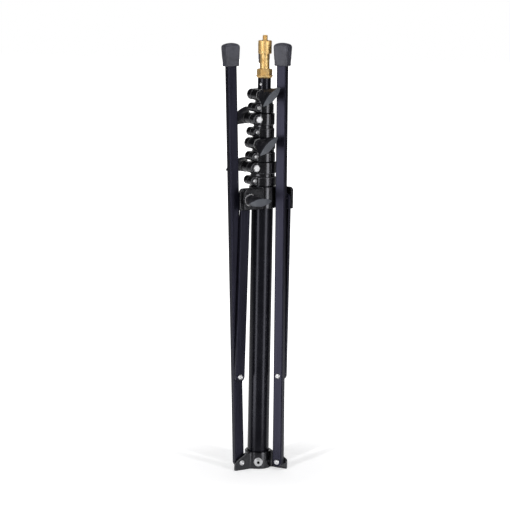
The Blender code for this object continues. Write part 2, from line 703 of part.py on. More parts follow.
# Slider: a split sleeve on the main tube with an ear for each strut and a clamp flange
def slider():
    height = SLIDER_TOP - SLIDER_BOTTOM
    middle = (SLIDER_TOP + SLIDER_BOTTOM) / 2
    sleeve = turned(
        "slider",
        [
            (0, SLIDER_TOP),
            (SLIDER_RADIUS - EDGE, SLIDER_TOP),
            (SLIDER_RADIUS, SLIDER_TOP - EDGE),
            (SLIDER_RADIUS, SLIDER_BOTTOM + EDGE),
            (SLIDER_RADIUS - EDGE, SLIDER_BOTTOM),
            (0, SLIDER_BOTTOM),
        ],
        None,
    )
    corner = SLIDER_EAR_CORNER
    ear = [
        (SLIDER_RADIUS / 2, SLIDER_BOTTOM),
        (SLIDER_EAR_REACH, SLIDER_BOTTOM),
        *arc(SLIDER_EAR_REACH - corner, SLIDER_TOP - corner, corner, 0, 90, 5),
        (SLIDER_RADIUS / 2, SLIDER_TOP),
    ]
    ear_middle = (SLIDER_EAR_INNER + SLIDER_EAR_OUTER) / 2
    for number, arm in enumerate(arms, 1):
        join(sleeve, prism(f"slider_ear_{number}", ear, SLIDER_EAR_THICKNESS, arm, (0, ear_middle, 0)))
    plan = [
        (0, FLANGE_INNER),
        (SLIDER_EAR_REACH, FLANGE_INNER),
        (SLIDER_EAR_REACH, FLANGE_OUTER),
        (FLANGE_FLAT_START, FLANGE_OUTER),
        (0, SLIDER_RADIUS - EDGE),
    ]
    flange = prism("clamp_flange", plan, height - 2 * EDGE, arms[0], (0, 0, middle), UPRIGHT)
    join(sleeve, flange)
    at = (SLIDER_EAR_REACH, 0, SLIDER_TOP)
    half = SLIDER_FLANGE_CHAMFER / math.sqrt(2)
    near = (-half, FLANGE_INNER - SLIDER_SLIT / 2, -half)
    far = (half, FLANGE_OUTER + OVERCUT, half)
    cut(
        sleeve,
        cylinder(
            "slider_bore", SLIDER_BORE, SLIDER_BOTTOM - OVERCUT, SLIDER_TOP + OVERCUT, None,
            rotation=UPRIGHT, sides=BORE_SIDES,
        ),
        block(
            "slider_slit", (0, SLIDER_EAR_OUTER, SLIDER_BOTTOM - OVERCUT),
            (SLIDER_EAR_REACH + OVERCUT, FLANGE_INNER, SLIDER_TOP + OVERCUT), arms[0],
        ),
        block("flange_chamfer", near, far, arms[0], at, (0, math.pi / 4, 0)),
        cylinder(
            "slider_screw_hole", PIN_HOLE, STRUT_OUTER, FLANGE_OUTER + OVERCUT, arms[0],
            (PIVOT_RADIUS, 0, SLIDER_PIVOT_HEIGHT),
        ),
    )
    for number, arm in enumerate(arms[1:], 2):
        at = (PIVOT_RADIUS, 0, SLIDER_PIVOT_HEIGHT)
        cut(sleeve, cylinder(f"top_hole_{number}", PIN_HOLE, STRUT_OUTER, SLIDER_EAR_OUTER + OVERCUT, arm, at))
    finish(sleeve, "black_casting")


def slider_fasteners():
    """The clamp bolt and knob on the front ear, and a rivet in each of the two other ears."""
    at = (PIVOT_RADIUS, 0, SLIDER_PIVOT_HEIGHT)
    start = SLIDER_EAR_INNER
    washer_base = FLANGE_OUTER + FIT
    knob_base = washer_base + WASHER_THICKNESS + FIT
    end = knob_base + KNOB_THREAD_DEPTH - 2 * FIT
    bolt = cylinder("slider_bolt", RIVET_RADIUS, start, end, arms[0], at)
    finish(bolt, "bright_steel")
    knob_washer("slider_washer", arms[0], at, ALONG_Y, washer_base, PIN_HOLE)
    knob_at = (PIVOT_RADIUS, knob_base, SLIDER_PIVOT_HEIGHT)
    clamp_knob("slider_knob", 1, knob_at, SLIDER_KNOB_TURN, PIN_HOLE)
    for number, arm in enumerate(arms[1:], 2):
        seat = SLIDER_EAR_OUTER + FIT
        rivet = turned(
            f"top_rivet_{number}",
            [
                *dome(RIVET_HEAD_RADIUS, seat, RIVET_HEAD_HEIGHT),
                (RIVET_RADIUS, seat),
                (RIVET_RADIUS, SLIDER_EAR_INNER),
                (0, SLIDER_EAR_INNER),
            ],
            arm, at, ALONG_Y, PIN_SIDES,
        )
        finish(rivet, "bright_steel")


# Arms: leg tube, rubber foot, strut and rivets of each of the three arms
def pivot_rivet(name, far, parent, location):
    """A rivet through the leg and the piece beside it, with a domed head at each end."""
    low = -LEG_SIDE - FIT
    high = far + FIT
    rivet = turned(
        name,
        [
            *dome(RIVET_HEAD_RADIUS, high, RIVET_HEAD_HEIGHT),
            (RIVET_RADIUS, high),
            (RIVET_RADIUS, low),
            *bowl(RIVET_HEAD_RADIUS, low, RIVET_HEAD_HEIGHT),
        ],
        parent, location, ALONG_Y, PIN_SIDES,
    )
    return finish(rivet, "bright_steel")


def leg(number, hinge):
    """A rectangular tube, round at the pivot end, open under the foot."""
    half = LEG_DEPTH / 2
    tube_piece = block(
        f"leg_{number}", (-half, -LEG_SIDE, -half), (half, LEG_SIDE, LEG_LENGTH), hinge, corner=LEG_CORNER
    )
    outline = [*arc(0, 0, half, 180, 360, 10), (half, LEG_LENGTH + OVERCUT), (-half, LEG_LENGTH + OVERCUT)]
    trim(tube_piece, prism(f"leg_end_{number}", outline, LEG_BREADTH + 2 * OVERCUT, hinge))
    inner = half - LEG_WALL
    side = LEG_SIDE - LEG_WALL
    hollow = block(
        f"leg_hollow_{number}", (-inner, -side, -half - OVERCUT), (inner, side, LEG_LENGTH + OVERCUT), hinge
    )
    reach = LEG_SIDE + OVERCUT
    cut(
        tube_piece,
        hollow,
        cylinder(f"leg_base_hole_{number}", PIN_HOLE, -reach, reach, hinge),
        cylinder(f"leg_mid_hole_{number}", PIN_HOLE, -reach, reach, hinge, (0, 0, MID_PIVOT)),
    )
    finish(tube_piece, "black_paint")


def foot(number, hinge):
    """A domed rubber cap pushed over the end of the leg."""
    bottom = LEG_LENGTH - FOOT_GRIP
    top = bottom + FOOT_HEIGHT
    bm = bmesh.new()
    bmesh.ops.create_cube(bm, size=1.0)
    for vert in bm.verts:
        size = FOOT_TOP if vert.co.z > 0 else FOOT_BOTTOM
        height = top if vert.co.z > 0 else bottom
        vert.co = (math.copysign(size[0] / 2, vert.co.x), math.copysign(size[1] / 2, vert.co.y), height)
    crown = [e for e in bm.edges if all(v.co.z > top - EDGE for v in e.verts)]
    bmesh.ops.bevel(bm, geom=crown, offset=FOOT_DOME, segments=4, profile=0.55, affect="EDGES")
    sides = [e for e in bm.edges if abs(e.verts[0].co.z - e.verts[1].co.z) > FOOT_HEIGHT / 2]
    bmesh.ops.bevel(bm, geom=sides, offset=FOOT_CORNER, segments=3, profile=0.5, affect="EDGES")
    cap = solid(f"foot_{number}", bm, hinge)
    half = LEG_DEPTH / 2 + FIT
    side = LEG_SIDE + FIT
    cavity = block(
        f"foot_cavity_{number}", (-half, -side, bottom - OVERCUT), (half, side, LEG_LENGTH + FIT), hinge
    )
    cut(cap, cavity)
    finish(cap, "black_rubber")


def strut(number, hinge):
    """A pressed channel with round solid ends; its open side faces the leg."""
    half = STRUT_DEPTH / 2
    outline = [*arc(0, STRUT_LENGTH, half, 0, 180, 10), *arc(0, 0, half, 180, 360, 10)]
    middle = (STRUT_INNER + STRUT_OUTER) / 2
    bar = prism(f"strut_{number}", outline, STRUT_THICKNESS, hinge, (0, middle, 0))
    inner = half - STRUT_FLANGE
    floor = STRUT_OUTER - STRUT_WEB
    at_top = (0, 0, STRUT_LENGTH)
    cut(
        bar,
        cylinder(f"strut_low_hole_{number}", PIN_HOLE, LEG_SIDE, STRUT_OUTER + OVERCUT, hinge),
        cylinder(f"strut_top_hole_{number}", PIN_HOLE, LEG_SIDE, STRUT_OUTER + OVERCUT, hinge, at_top),
        block(
            f"strut_channel_{number}", (-inner, STRUT_INNER - OVERCUT, STRUT_END),
            (inner, floor, STRUT_LENGTH - STRUT_END), hinge,
        ),
    )
    finish(bar, "black_paint")


def arm_pieces(number, arm, lean_degrees):
    """Leg, foot, strut and rivets; the strut points from the leg's middle pivot to the slider's ear."""
    lean = math.radians(lean_degrees)
    base = (PIVOT_RADIUS, 0, PIVOT_HEIGHT)
    leg_hinge = frame(f"leg_hinge_{number}", arm, base, (0, lean, 0))
    leg(number, leg_hinge)
    foot(number, leg_hinge)
    pivot_rivet(f"base_rivet_{number}", EAR_OUTER, arm, base)
    pivot_rivet(f"mid_rivet_{number}", STRUT_OUTER, leg_hinge, (0, 0, MID_PIVOT))
    rise = SLIDER_PIVOT_HEIGHT - PIVOT_HEIGHT - MID_PIVOT * math.cos(lean)
    strut_lean = math.atan2(-MID_PIVOT * math.sin(lean), rise)
    strut_hinge = frame(f"strut_hinge_{number}", leg_hinge, (0, 0, MID_PIVOT), (0, strut_lean - lean, 0))
    strut(number, strut_hinge)


base_casting()
base_bolt()
column()
spigot()
for index in range(RISER_COUNT):
    collar(index)
slider()
slider_fasteners()
for index, arm_frame in enumerate(arms):
    arm_pieces(index + 1, arm_frame, LEG_REST_LEANS[index])
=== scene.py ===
# %% [markdown]
# # Dressing a compact light stand
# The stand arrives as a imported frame: solids that move on joints but have few faces and plain
# finishes. This lesson keeps their places and sizes and gives each one the surface of the real
# object: satin castings with soft edges, drawn black tubes, a turned brass spigot, moulded
# wing knobs and grained rubber feet. All sizes are in metres, +Z is up, and the origin is on
# the column's axis at the underside of the base casting.

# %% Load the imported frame
import json

import bpy
import numpy as np
from mathutils import Matrix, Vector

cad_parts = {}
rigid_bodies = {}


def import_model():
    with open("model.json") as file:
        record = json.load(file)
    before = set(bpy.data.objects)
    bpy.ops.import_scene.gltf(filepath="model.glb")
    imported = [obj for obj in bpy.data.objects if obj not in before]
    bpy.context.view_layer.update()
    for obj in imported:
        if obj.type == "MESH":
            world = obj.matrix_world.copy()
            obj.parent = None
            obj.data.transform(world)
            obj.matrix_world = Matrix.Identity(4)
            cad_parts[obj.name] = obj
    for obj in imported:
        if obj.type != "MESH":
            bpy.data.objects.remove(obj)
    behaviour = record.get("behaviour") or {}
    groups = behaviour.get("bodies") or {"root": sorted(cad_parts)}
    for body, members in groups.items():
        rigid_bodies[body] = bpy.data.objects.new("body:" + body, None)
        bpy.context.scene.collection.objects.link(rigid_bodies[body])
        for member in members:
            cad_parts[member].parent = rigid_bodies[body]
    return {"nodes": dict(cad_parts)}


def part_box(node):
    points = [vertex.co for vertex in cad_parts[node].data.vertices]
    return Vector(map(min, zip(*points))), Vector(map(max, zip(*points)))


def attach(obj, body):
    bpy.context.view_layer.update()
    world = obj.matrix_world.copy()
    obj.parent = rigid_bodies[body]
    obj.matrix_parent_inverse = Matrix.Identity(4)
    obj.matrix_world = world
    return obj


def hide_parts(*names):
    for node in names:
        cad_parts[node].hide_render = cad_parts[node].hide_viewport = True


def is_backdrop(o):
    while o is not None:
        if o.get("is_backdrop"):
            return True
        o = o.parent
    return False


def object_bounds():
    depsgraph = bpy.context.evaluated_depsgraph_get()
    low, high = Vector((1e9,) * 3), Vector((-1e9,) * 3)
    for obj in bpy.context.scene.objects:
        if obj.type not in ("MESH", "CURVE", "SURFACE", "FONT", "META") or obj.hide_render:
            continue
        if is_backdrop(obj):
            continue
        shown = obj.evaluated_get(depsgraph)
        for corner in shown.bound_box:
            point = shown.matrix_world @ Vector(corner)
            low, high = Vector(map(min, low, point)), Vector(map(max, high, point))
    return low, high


for start_object in list(bpy.data.objects):
    bpy.data.objects.remove(start_object, do_unlink=True)
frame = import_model()
cad_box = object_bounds()

# %% [markdown]
# ## From arrays to meshes
# Every new piece is worked out as whole numpy arrays. Two kinds of shape cover the stand. A
# turned piece is a grid: one parameter runs along a profile, the other around an axis. A cast
# piece is a field: each point of space gets a signed distance, and the surface is where it is
# zero. Both end in the same helper, which writes the points, faces and normals into a mesh,
# hangs it on the body that carries it and hides the solid that it stands for.

# %% One helper makes every mesh object
FINISHES = {}


def piece(name, points, faces, finish, body, node, normals=None):
    """Writes points (n, 3) and faces (m, 4) into a mesh object named name.

    A face whose last two corners are equal is a triangle. The piece gets the finish's
    material, rides on the body and replaces the solid called node.
    """
    mesh = bpy.data.meshes.new(name)
    corners = np.where(faces[:, 3] == faces[:, 2], 3, 4)
    kept = np.arange(4)[None, :] < corners[:, None]
    starts = np.concatenate([[0], np.cumsum(corners)[:-1]])
    mesh.vertices.add(len(points))
    mesh.vertices.foreach_set("co", points.astype(np.float32).ravel())
    mesh.loops.add(int(corners.sum()))
    mesh.loops.foreach_set("vertex_index", faces[kept].astype(np.int32))
    mesh.polygons.add(len(faces))
    mesh.polygons.foreach_set("loop_start", starts.astype(np.int32))
    mesh.polygons.foreach_set("use_smooth", np.ones(len(faces), dtype=bool))
    mesh.update(calc_edges=True)
    if normals is not None:
        mesh.normals_split_custom_set_from_vertices(normals.astype(np.float32))
    mesh.materials.append(FINISHES[finish])
    obj = bpy.data.objects.new(name, mesh)
    bpy.context.scene.collection.objects.link(obj)
    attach(obj, body)
    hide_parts(node)
    return obj


def mark(obj, name, values):
    """Writes one number per point, which a finish reads as an attribute."""
    attribute = obj.data.attributes.new(name, "FLOAT", "POINT")
    attribute.data.foreach_set("value", values.astype(np.float32))


# %% [markdown]
# ## Where things are
# The three arms stand around the column at 210, 330 and 90 degrees. In an arm's own frame x
# points outward, y runs along the pivots' axis and z is up, so one description serves all
# three arms. A place is kept as a 3 by 3 turn and an origin.

# %% Frames of the arms and of their hinges
UP = np.eye(3)
X, Y, Z = range(3)


def turn_about(axis, degrees):
    """Rotation matrix about x, y or z.

    Of the next two axes in the order x, y, z, x, the first one goes to (cos, sin) of them and
    the second one to (-sin, cos).
    """
    c, s = np.cos(np.radians(degrees)), np.sin(np.radians(degrees))
    first, second = (axis + 1) % 3, (axis + 2) % 3
    turn = np.eye(3)
    turn[[first, second], [first, second]] = c
    turn[second, first], turn[first, second] = s, -s
    return turn


def placed(points, turn, origin):
    """Each point turned and then moved: turn times point, plus origin."""
    return points @ turn.T + np.asarray(origin)


def one_placed(point, turn, origin=(0, 0, 0)):
    """The same for a single point."""
    return placed(np.array([point]), turn, origin)[0]


ARM_AZIMUTHS = (210.0, 330.0, 90.0)
ARMS = [turn_about(Z, azimuth) for azimuth in ARM_AZIMUTHS]
Z_TO_Y = turn_about(X, -90.0)
Z_TO_MINUS_Y = turn_about(X, 90.0)
Z_TO_X = turn_about(Y, 90.0)
print("arms at", ARM_AZIMUTHS)

# %% [markdown]
# ## Finishes
# The photographed stand has seven finishes, and its hidden plugs have one more. Each is a
# Principled shader whose colour, roughness and bump come from noise in Object coordinates, so
# the pattern stays on the piece from every side. Noise is stretched along the column where the
# real finish was drawn or turned, and is round and fine where it was cast or moulded.

# %% Small builders for procedural materials
def node_tree(name, settings):
    """A new material whose Principled shader takes the settings, a value per socket name.

    Returns the tree, the shader and the coordinates on the piece.
    """
    material = bpy.data.materials.new(name)
    material.use_nodes = True
    tree = material.node_tree
    shader = tree.nodes["Principled BSDF"]
    for socket, value in settings.items():
        shader.inputs[socket].default_value = value
    where = tree.nodes.new("ShaderNodeTexCoord")
    FINISHES[name] = material
    return tree, shader, where.outputs["Object"]


def shine(level, tint=(1.0, 1.0, 1.0)):
    """Settings for the mirrored light of a coat: its level and its tint."""
    return {"Specular IOR Level": level, "Specular Tint": (*tint, 1.0)}


def noise(tree, where, size, stretch=(1.0, 1.0, 1.0), detail=3.0):
    """Noise whose lumps are about size metres wide, divided by stretch along each axis."""
    mapping = tree.nodes.new("ShaderNodeMapping")
    mapping.inputs["Scale"].default_value = [value / size for value in stretch]
    texture = tree.nodes.new("ShaderNodeTexNoise")
    texture.inputs["Scale"].default_value = 1.0
    texture.inputs["Detail"].default_value = detail
    tree.links.new(where, mapping.inputs["Vector"])
    tree.links.new(mapping.outputs["Vector"], texture.inputs["Vector"])
    return texture.outputs["Fac"]


def levels(tree, value, low, high, from_low=0.35, from_high=0.65):
    """Maps a value from its usual span to the span low to high, and holds it there."""
    node = tree.nodes.new("ShaderNodeMapRange")
    node.inputs["From Min"].default_value = from_low
    node.inputs["From Max"].default_value = from_high
    node.inputs["To Min"].default_value = low
    node.inputs["To Max"].default_value = high
    tree.links.new(value, node.inputs["Value"])
    return node.outputs["Result"]


# %% Colours that follow a pattern or a mark
def blend(tree, pattern, first, second):
    """A colour that goes from first to second as the pattern goes through its usual span."""
    ramp = tree.nodes.new("ShaderNodeValToRGB")
    ramp.color_ramp.elements[0].color = (*first, 1.0)
    ramp.color_ramp.elements[1].color = (*second, 1.0)
    tree.links.new(levels(tree, pattern, 0.0, 1.0), ramp.inputs["Fac"])
    return ramp.outputs["Color"]


def marked(tree, name):
    """The number that mark() wrote at each point; 0 where a piece has none."""
    node = tree.nodes.new("ShaderNodeAttribute")
    node.attribute_name = name
    return node.outputs["Fac"]


def mixed(tree, factor, colour, fixed):
    """Goes from a colour to a fixed one as the factor goes from 0 to 1."""
    node = tree.nodes.new("ShaderNodeMix")
    node.data_type = "RGBA"
    first, second = (socket for socket in node.inputs if socket.type == "RGBA")
    tree.links.new(factor, node.inputs["Factor"])
    tree.links.new(colour, first)
    second.default_value = (*fixed, 1.0)
    return next(socket for socket in node.outputs if socket.type == "RGBA")


# %% Sums, relief and the last links
def maths(tree, operation, first, second):
    """Two values joined by a Math node: their product, their quotient or the larger one."""
    node = tree.nodes.new("ShaderNodeMath")
    node.operation = operation
    tree.links.new(first, node.inputs[0])
    tree.links.new(second, node.inputs[1])
    return node.outputs["Value"]


def relief(tree, height, depth):
    """A bump of the given depth in metres."""
    bump = tree.nodes.new("ShaderNodeBump")
    bump.inputs["Strength"].default_value = 1.0
    bump.inputs["Distance"].default_value = depth
    tree.links.new(height, bump.inputs["Height"])
    return bump.outputs["Normal"]


def connect(tree, shader, colour, roughness, normal):
    """Links the three patterns of a finish to its shader."""
    tree.links.new(colour, shader.inputs["Base Color"])
    tree.links.new(roughness, shader.inputs["Roughness"])
    tree.links.new(normal, shader.inputs["Normal"])


# %% [markdown]
# The tubes are drawn aluminium, anodised black: nearly mirror-smooth around the tube, with
# faint draw lines along it. The legs and struts are coated, a little bluer and more satin,
# with a fine orange peel. Long thin noise gives the draw lines, short round noise the peel.
# Along a leg's or a casting's sharp edges a fine pale line is painted, broken up by noise: a
# painted highlight where an edge would glint, and partly worn coat. The edges are marked when the
# pieces are drawn.

# %% Black finishes of the tubes, the legs and the castings
# The pale edge colour is a painted highlight, and partly worn coat.
EDGE_GLINT_AND_WEAR, LEAST_GLINT_AND_WEAR = (0.14, 0.14, 0.15), 0.3


def glint_and_wear(tree, colour, pattern):
    """The colour turned pale along marked edges, least where the pattern is low: a painted highlight and
    partly worn coat.
    """
    glint_and_wear_share = maths(tree, "MULTIPLY", marked(tree, "edge"), levels(tree, pattern, LEAST_GLINT_AND_WEAR, 1.0))
    return mixed(tree, glint_and_wear_share, colour, EDGE_GLINT_AND_WEAR)


def anodised_tube():
    """Draw lines: noise 40 times longer along z than across."""
    tree, shader, where = node_tree("black_anodised_tube", shine(0.29, (0.86, 0.86, 1.0)))
    lines = noise(tree, where, 0.0010, (1.0, 1.0, 0.025))
    haze = noise(tree, where, 0.030)
    colour = blend(tree, haze, (0.004, 0.004, 0.006), (0.008, 0.008, 0.011))
    connect(tree, shader, colour, levels(tree, lines, 0.20, 0.27), relief(tree, lines, 0.000004))


def leg_coating():
    """A blue-black coat with a fine peel and faint worn streaks along the leg."""
    tree, shader, where = node_tree("black_leg_profile", shine(0.30, (0.68, 0.67, 1.0)))
    peel = noise(tree, where, 0.0011, detail=2.0)
    streaks = noise(tree, where, 0.0030, (1.0, 1.0, 0.05))
    coat = blend(tree, streaks, (0.005, 0.005, 0.008), (0.008, 0.008, 0.013))
    colour = glint_and_wear(tree, coat, streaks)
    connect(tree, shader, colour, levels(tree, streaks, 0.27, 0.34), relief(tree, peel, 0.000010))


def casting_coat():
    """A satin black coat on a die casting: sand-fine grain with broad uneven patches."""
    tree, shader, where = node_tree("black_casting", shine(0.80, (0.93, 0.93, 1.0)))
    grain = noise(tree, where, 0.00055, detail=2.0)
    patches = noise(tree, where, 0.0080)
    coat = blend(tree, patches, (0.003, 0.003, 0.004), (0.006, 0.006, 0.007))
    colour = glint_and_wear(tree, coat, patches)
    connect(tree, shader, colour, levels(tree, patches, 0.20, 0.26), relief(tree, grain, 0.000008))


anodised_tube()
leg_coating()
casting_coat()
print("black finishes:", sorted(FINISHES))

# %% [markdown]
# Knobs, plugs and feet are moulded. A knob's surface is spark-eroded in the mould, so it has an
# even pebble grain; the leaf at the end of its wing, which faces the lamps, is painted a lighter
# grey as painted light. The rubber of a foot has coarser grain, is never quite clean, and spreads light most.

# %% Moulded finishes
# The lighter grey painted on the knob's end leaf is painted light.
PAINTED_LEAF_LIGHT = (0.070, 0.076, 0.090)


def moulded(name, dark, light, rough, grain_size, depth, gloss=0.4):
    """An even grain over a slow drift between two colours, and a lighter grey painted on the marked end leaf
    as painted light.
    """
    tree, shader, where = node_tree(name, shine(gloss))
    grain = noise(tree, where, grain_size, detail=4.0)
    drift = noise(tree, where, 0.0060)
    colour = mixed(tree, marked(tree, "lit_leaf"), blend(tree, drift, dark, light), PAINTED_LEAF_LIGHT)
    roughness = levels(tree, grain, rough - 0.06, rough + 0.08)
    connect(tree, shader, colour, roughness, relief(tree, grain, depth))


moulded("black_knob", (0.006, 0.006, 0.008), (0.011, 0.011, 0.014), 0.38, 0.00050, 0.000016)
moulded("rubber_foot", (0.036, 0.036, 0.047), (0.053, 0.054, 0.070), 0.52, 0.00075, 0.000050, 0.5)
moulded("nylon_plug", (0.560, 0.550, 0.520), (0.660, 0.650, 0.620), 0.45, 0.00040, 0.000008)

# %% [markdown]
# The spigot is turned from brass. A lathe leaves fine rings, so its noise is short along z and
# long around it, and handling leaves slightly darker, redder patches. The fasteners are zinc
# plated steel, pale and bright with a soft mottling.

# %% Metal finishes
def turned_brass():
    """Rings of the lathe tool: noise 12 times finer along z than across it."""
    tree, shader, where = node_tree("brass_spigot", {"Metallic": 0.72})
    rings = noise(tree, where, 0.0012, (0.25, 0.25, 3.0), detail=2.0)
    patina = noise(tree, where, 0.0045)
    colour = blend(tree, patina, (0.80, 0.50, 0.18), (0.92, 0.66, 0.29))
    connect(tree, shader, colour, levels(tree, patina, 0.52, 0.44), relief(tree, rings, 0.000001))


# The dark colour painted into sunk places is painted shade.
PAINTED_SHADE = (0.020, 0.020, 0.022)


def zinc_plate():
    """Bright plating, mottled by fine noise in colour and roughness, and painted dark where sunk as painted
    shade.
    """
    tree, shader, where = node_tree("plated_steel", {"Metallic": 1.0})
    mottle = noise(tree, where, 0.0011)
    plating = blend(tree, mottle, (0.80, 0.80, 0.82), (0.93, 0.93, 0.94))
    colour = mixed(tree, marked(tree, "recess"), plating, PAINTED_SHADE)
    connect(tree, shader, colour, levels(tree, mottle, 0.42, 0.54), relief(tree, mottle, 0.000004))


turned_brass()
zinc_plate()
print("all finishes:", sorted(FINISHES))

# %% [markdown]
# ## Turned pieces
# Tubes, washers, rivets and screws are surfaces of revolution. A profile is a short list of
# (radius, height) corners. Real corners are never knife-sharp, and a tiny round on each is
# what catches the light, so the profile's corners are rounded first. The grid is then profile
# points by angles. A profile that starts and ends on the axis closes in a fan at both poles,
# and one that stays off it is closed into a ring.

# %% Rounded profiles and turned surfaces
MOST_OF_EDGE = 0.45


def rounded(corners, radius, steps=4, closed=False):
    """Replaces each corner of a polyline by an arc.

    The arc starts and ends at the same distance from the corner along both edges, at most
    MOST_OF_EDGE of the shorter one, and its points blend the two ends and the corner as a
    quadratic curve: (1-t)^2 start + 2t(1-t) corner + t^2 end.
    """
    corners = np.asarray(corners, dtype=float)
    before = np.roll(corners, 1, axis=0) - corners
    after = np.roll(corners, -1, axis=0) - corners
    lengths = np.linalg.norm(before, axis=1), np.linalg.norm(after, axis=1)
    reach = np.minimum(radius, MOST_OF_EDGE * np.minimum(*lengths))
    if not closed:
        reach[[0, -1]] = 0.0
    start = corners + before * (reach / np.maximum(lengths[0], 1e-12))[:, None]
    end = corners + after * (reach / np.maximum(lengths[1], 1e-12))[:, None]
    t = np.linspace(0.0, 1.0, steps)[None, :, None]
    arcs = (1 - t) ** 2 * start[:, None] + 2 * t * (1 - t) * corners[:, None] + t**2 * end[:, None]
    kept = np.ones(arcs.shape[:2], dtype=bool)
    if not closed:
        kept[[0, -1], 1:] = False
    return arcs[kept]


# %% Faces of a grid and of its poles
def grid_faces(rows, columns, ring):
    """Quads of a grid that wraps around its columns, and around its rows when it is a ring."""
    row = np.arange(rows if ring else rows - 1)[:, None]
    column = np.arange(columns)[None, :]
    below, beside = (row + 1) % rows, (column + 1) % columns
    corners = (row, column), (row, beside), (below, beside), (below, column)
    quads = [np.broadcast_to(r * columns + c, (row.size, columns)) for r, c in corners]
    return np.stack(quads, axis=-1).reshape(-1, 4)


def pole_faces(count, pole, first, upward):
    """Triangles from a ring of count points, starting at first, to one pole point."""
    here = first + np.arange(count)
    beside = first + (np.arange(count) + 1) % count
    top = np.full(count, pole)
    return np.stack([*((beside, here) if upward else (here, beside)), top, top], axis=-1)


def closed_grid(rings):
    """Points and faces of rings (rows, columns, 3); the first and last ring shrink to poles."""
    poles = rings[[0, -1]].mean(axis=1)
    rings = rings[1:-1]
    rows, columns = rings.shape[:2]
    points = np.concatenate([rings.reshape(-1, 3), poles])
    faces = np.concatenate([
        grid_faces(rows, columns, False),
        pole_faces(columns, rows * columns, 0, True),
        pole_faces(columns, rows * columns + 1, (rows - 1) * columns, False),
    ])
    return points, faces


# %% Surfaces turned about an axis
def circles(radius, height, angle):
    """Rings of points (radius cos angle, radius sin angle, height), run so that faces look out."""
    return np.stack([radius * np.cos(angle), radius * np.sin(angle), height + 0 * angle], axis=-1)[:, ::-1]


def turned(name, profile, finish, body, turn=UP, origin=(0, 0, 0), sides=64, ring=False):
    """A profile of (radius, height) points carried around z and then placed.

    The profile runs from the top of the piece outwards and down to its bottom.
    """
    angle = np.linspace(0.0, 2 * np.pi, sides, endpoint=False)
    radius, height = profile[:, 0][:, None], profile[:, 1][:, None]
    rings = circles(radius, height, angle)
    if ring:
        points, faces = rings.reshape(-1, 3), grid_faces(len(profile), sides, True)
    else:
        points, faces = closed_grid(rings)
    return piece(name + "_finished", placed(points, turn, origin), faces, finish, body, name)

# %% [markdown]
# ## The column
# Five drawn tubes nest with a small gap. A tube's place and size are already in its solid, so
# its box gives the radius and both ends, and only the wall is typed here. The solid has flat
# facets that break a highlight into stripes; 160 steps around keep it as one soft line.

# %% Tubes
TUBE_WALL = 0.0009
TUBE_RIM = 0.00025


def tube(node, body):
    """A ring profile: outer wall, both rims and the bore, turned about the column's axis."""
    low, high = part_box(node)
    radius = (high[0] - low[0]) / 2
    inner = radius - TUBE_WALL
    corners = [(radius, high[2]), (radius, low[2]), (inner, low[2]), (inner, high[2])]
    turned(node, rounded(corners, TUBE_RIM, closed=True), "black_anodised_tube", body, sides=160, ring=True)
    return radius


RISERS = ("riser_1", "riser_2", "riser_3", "riser_4")
TUBE_RADII = [tube("main_tube", "base")] + [tube(riser, riser) for riser in RISERS]
print("tube radii in mm:", np.round(np.array(TUBE_RADII) * 1000, 2))

# %% [markdown]
# The nylon plugs in the risers' lower ends are the right shape already and sit out of sight,
# so their solids stay and only take the nylon finish.

# %% Plugs keep their solids
for number in range(1, 5):
    plug = frame["nodes"][f"riser_plug_{number}"]
    plug.data.materials.clear()
    plug.data.materials.append(FINISHES["nylon_plug"])
print("plugs finished")

# %% [markdown]
# ## The spigot
# The brass spigot is one turned piece, but two of its parts aren't round: the hexagon and the
# thread on the stud. Both are still a radius that depends on angle and height. In the hexagon
# the radius is the smaller of the turned profile and the flat, apothem / cos(angle within the
# flat). In the thread it dips by a wave that climbs one pitch per turn.

# %% Turned brass spigot
FLANGE_RADIUS, FLANGE_HEIGHT = 0.0099, 0.0034
HEX_RADIUS, HEX_HEIGHT, HEX_MARGIN = 0.0092, 0.0070, 0.0010
NECK_RADIUS, NECK_HEIGHT = 0.0058, 0.0178
HEAD_RADIUS, HEAD_HEIGHT = 0.0080, 0.0155
STUD_RADIUS, STUD_HEIGHT = 0.003175, 0.0063
TAIL_RADIUS = 0.0066
THREAD_PITCH, THREAD_DEPTH, THREAD_ROWS = 0.00127, 0.00048, 14
THREAD_START, ROWS_START, ROWS_END = 0.0002, 0.0004, 0.0011
# A bevel is how far it goes back along the flat, and down the side.
STUD_BEVEL, FLANGE_BEVEL = (0.0007, 0.0008), (0.0007, 0.0009)
HEAD_BEVEL, HEAD_FOOT_BEVEL = (0.0006, 0.0006), (0.0005, -0.0005)
HEX_BEVEL, HEX_FOOT_BEVEL = (0.0012, 0.0007), (0.0009, -0.0007)
FLANGE_TAPER, SEAT_TAPER = (0.0004, 0.0018), 0.0014
SOFT_EDGE, PROFILE_STEPS = 0.0004, 5
SPIGOT_SIDES = 192


def bevel(radius, height, back, drop):
    """The two corners of a cut edge, back along its flat and drop down its side.

    A negative drop is a rise, at a lower edge, where the side comes first.
    """
    pair = [(radius - back, height), (radius, height - drop)]
    return pair if drop > 0 else pair[::-1]


def subdivided(profile, low, high, step):
    """Adds profile points every step metres of height between low and high."""
    heights = np.arange(high, low, -step)
    above = profile[profile[:, 1] >= high]
    below = profile[profile[:, 1] <= low]
    radii = np.interp(heights, [below[0, 1], above[-1, 1]], [below[0, 0], above[-1, 0]])
    filled = np.stack([radii, heights], axis=-1)
    return np.concatenate([above, filled, below])


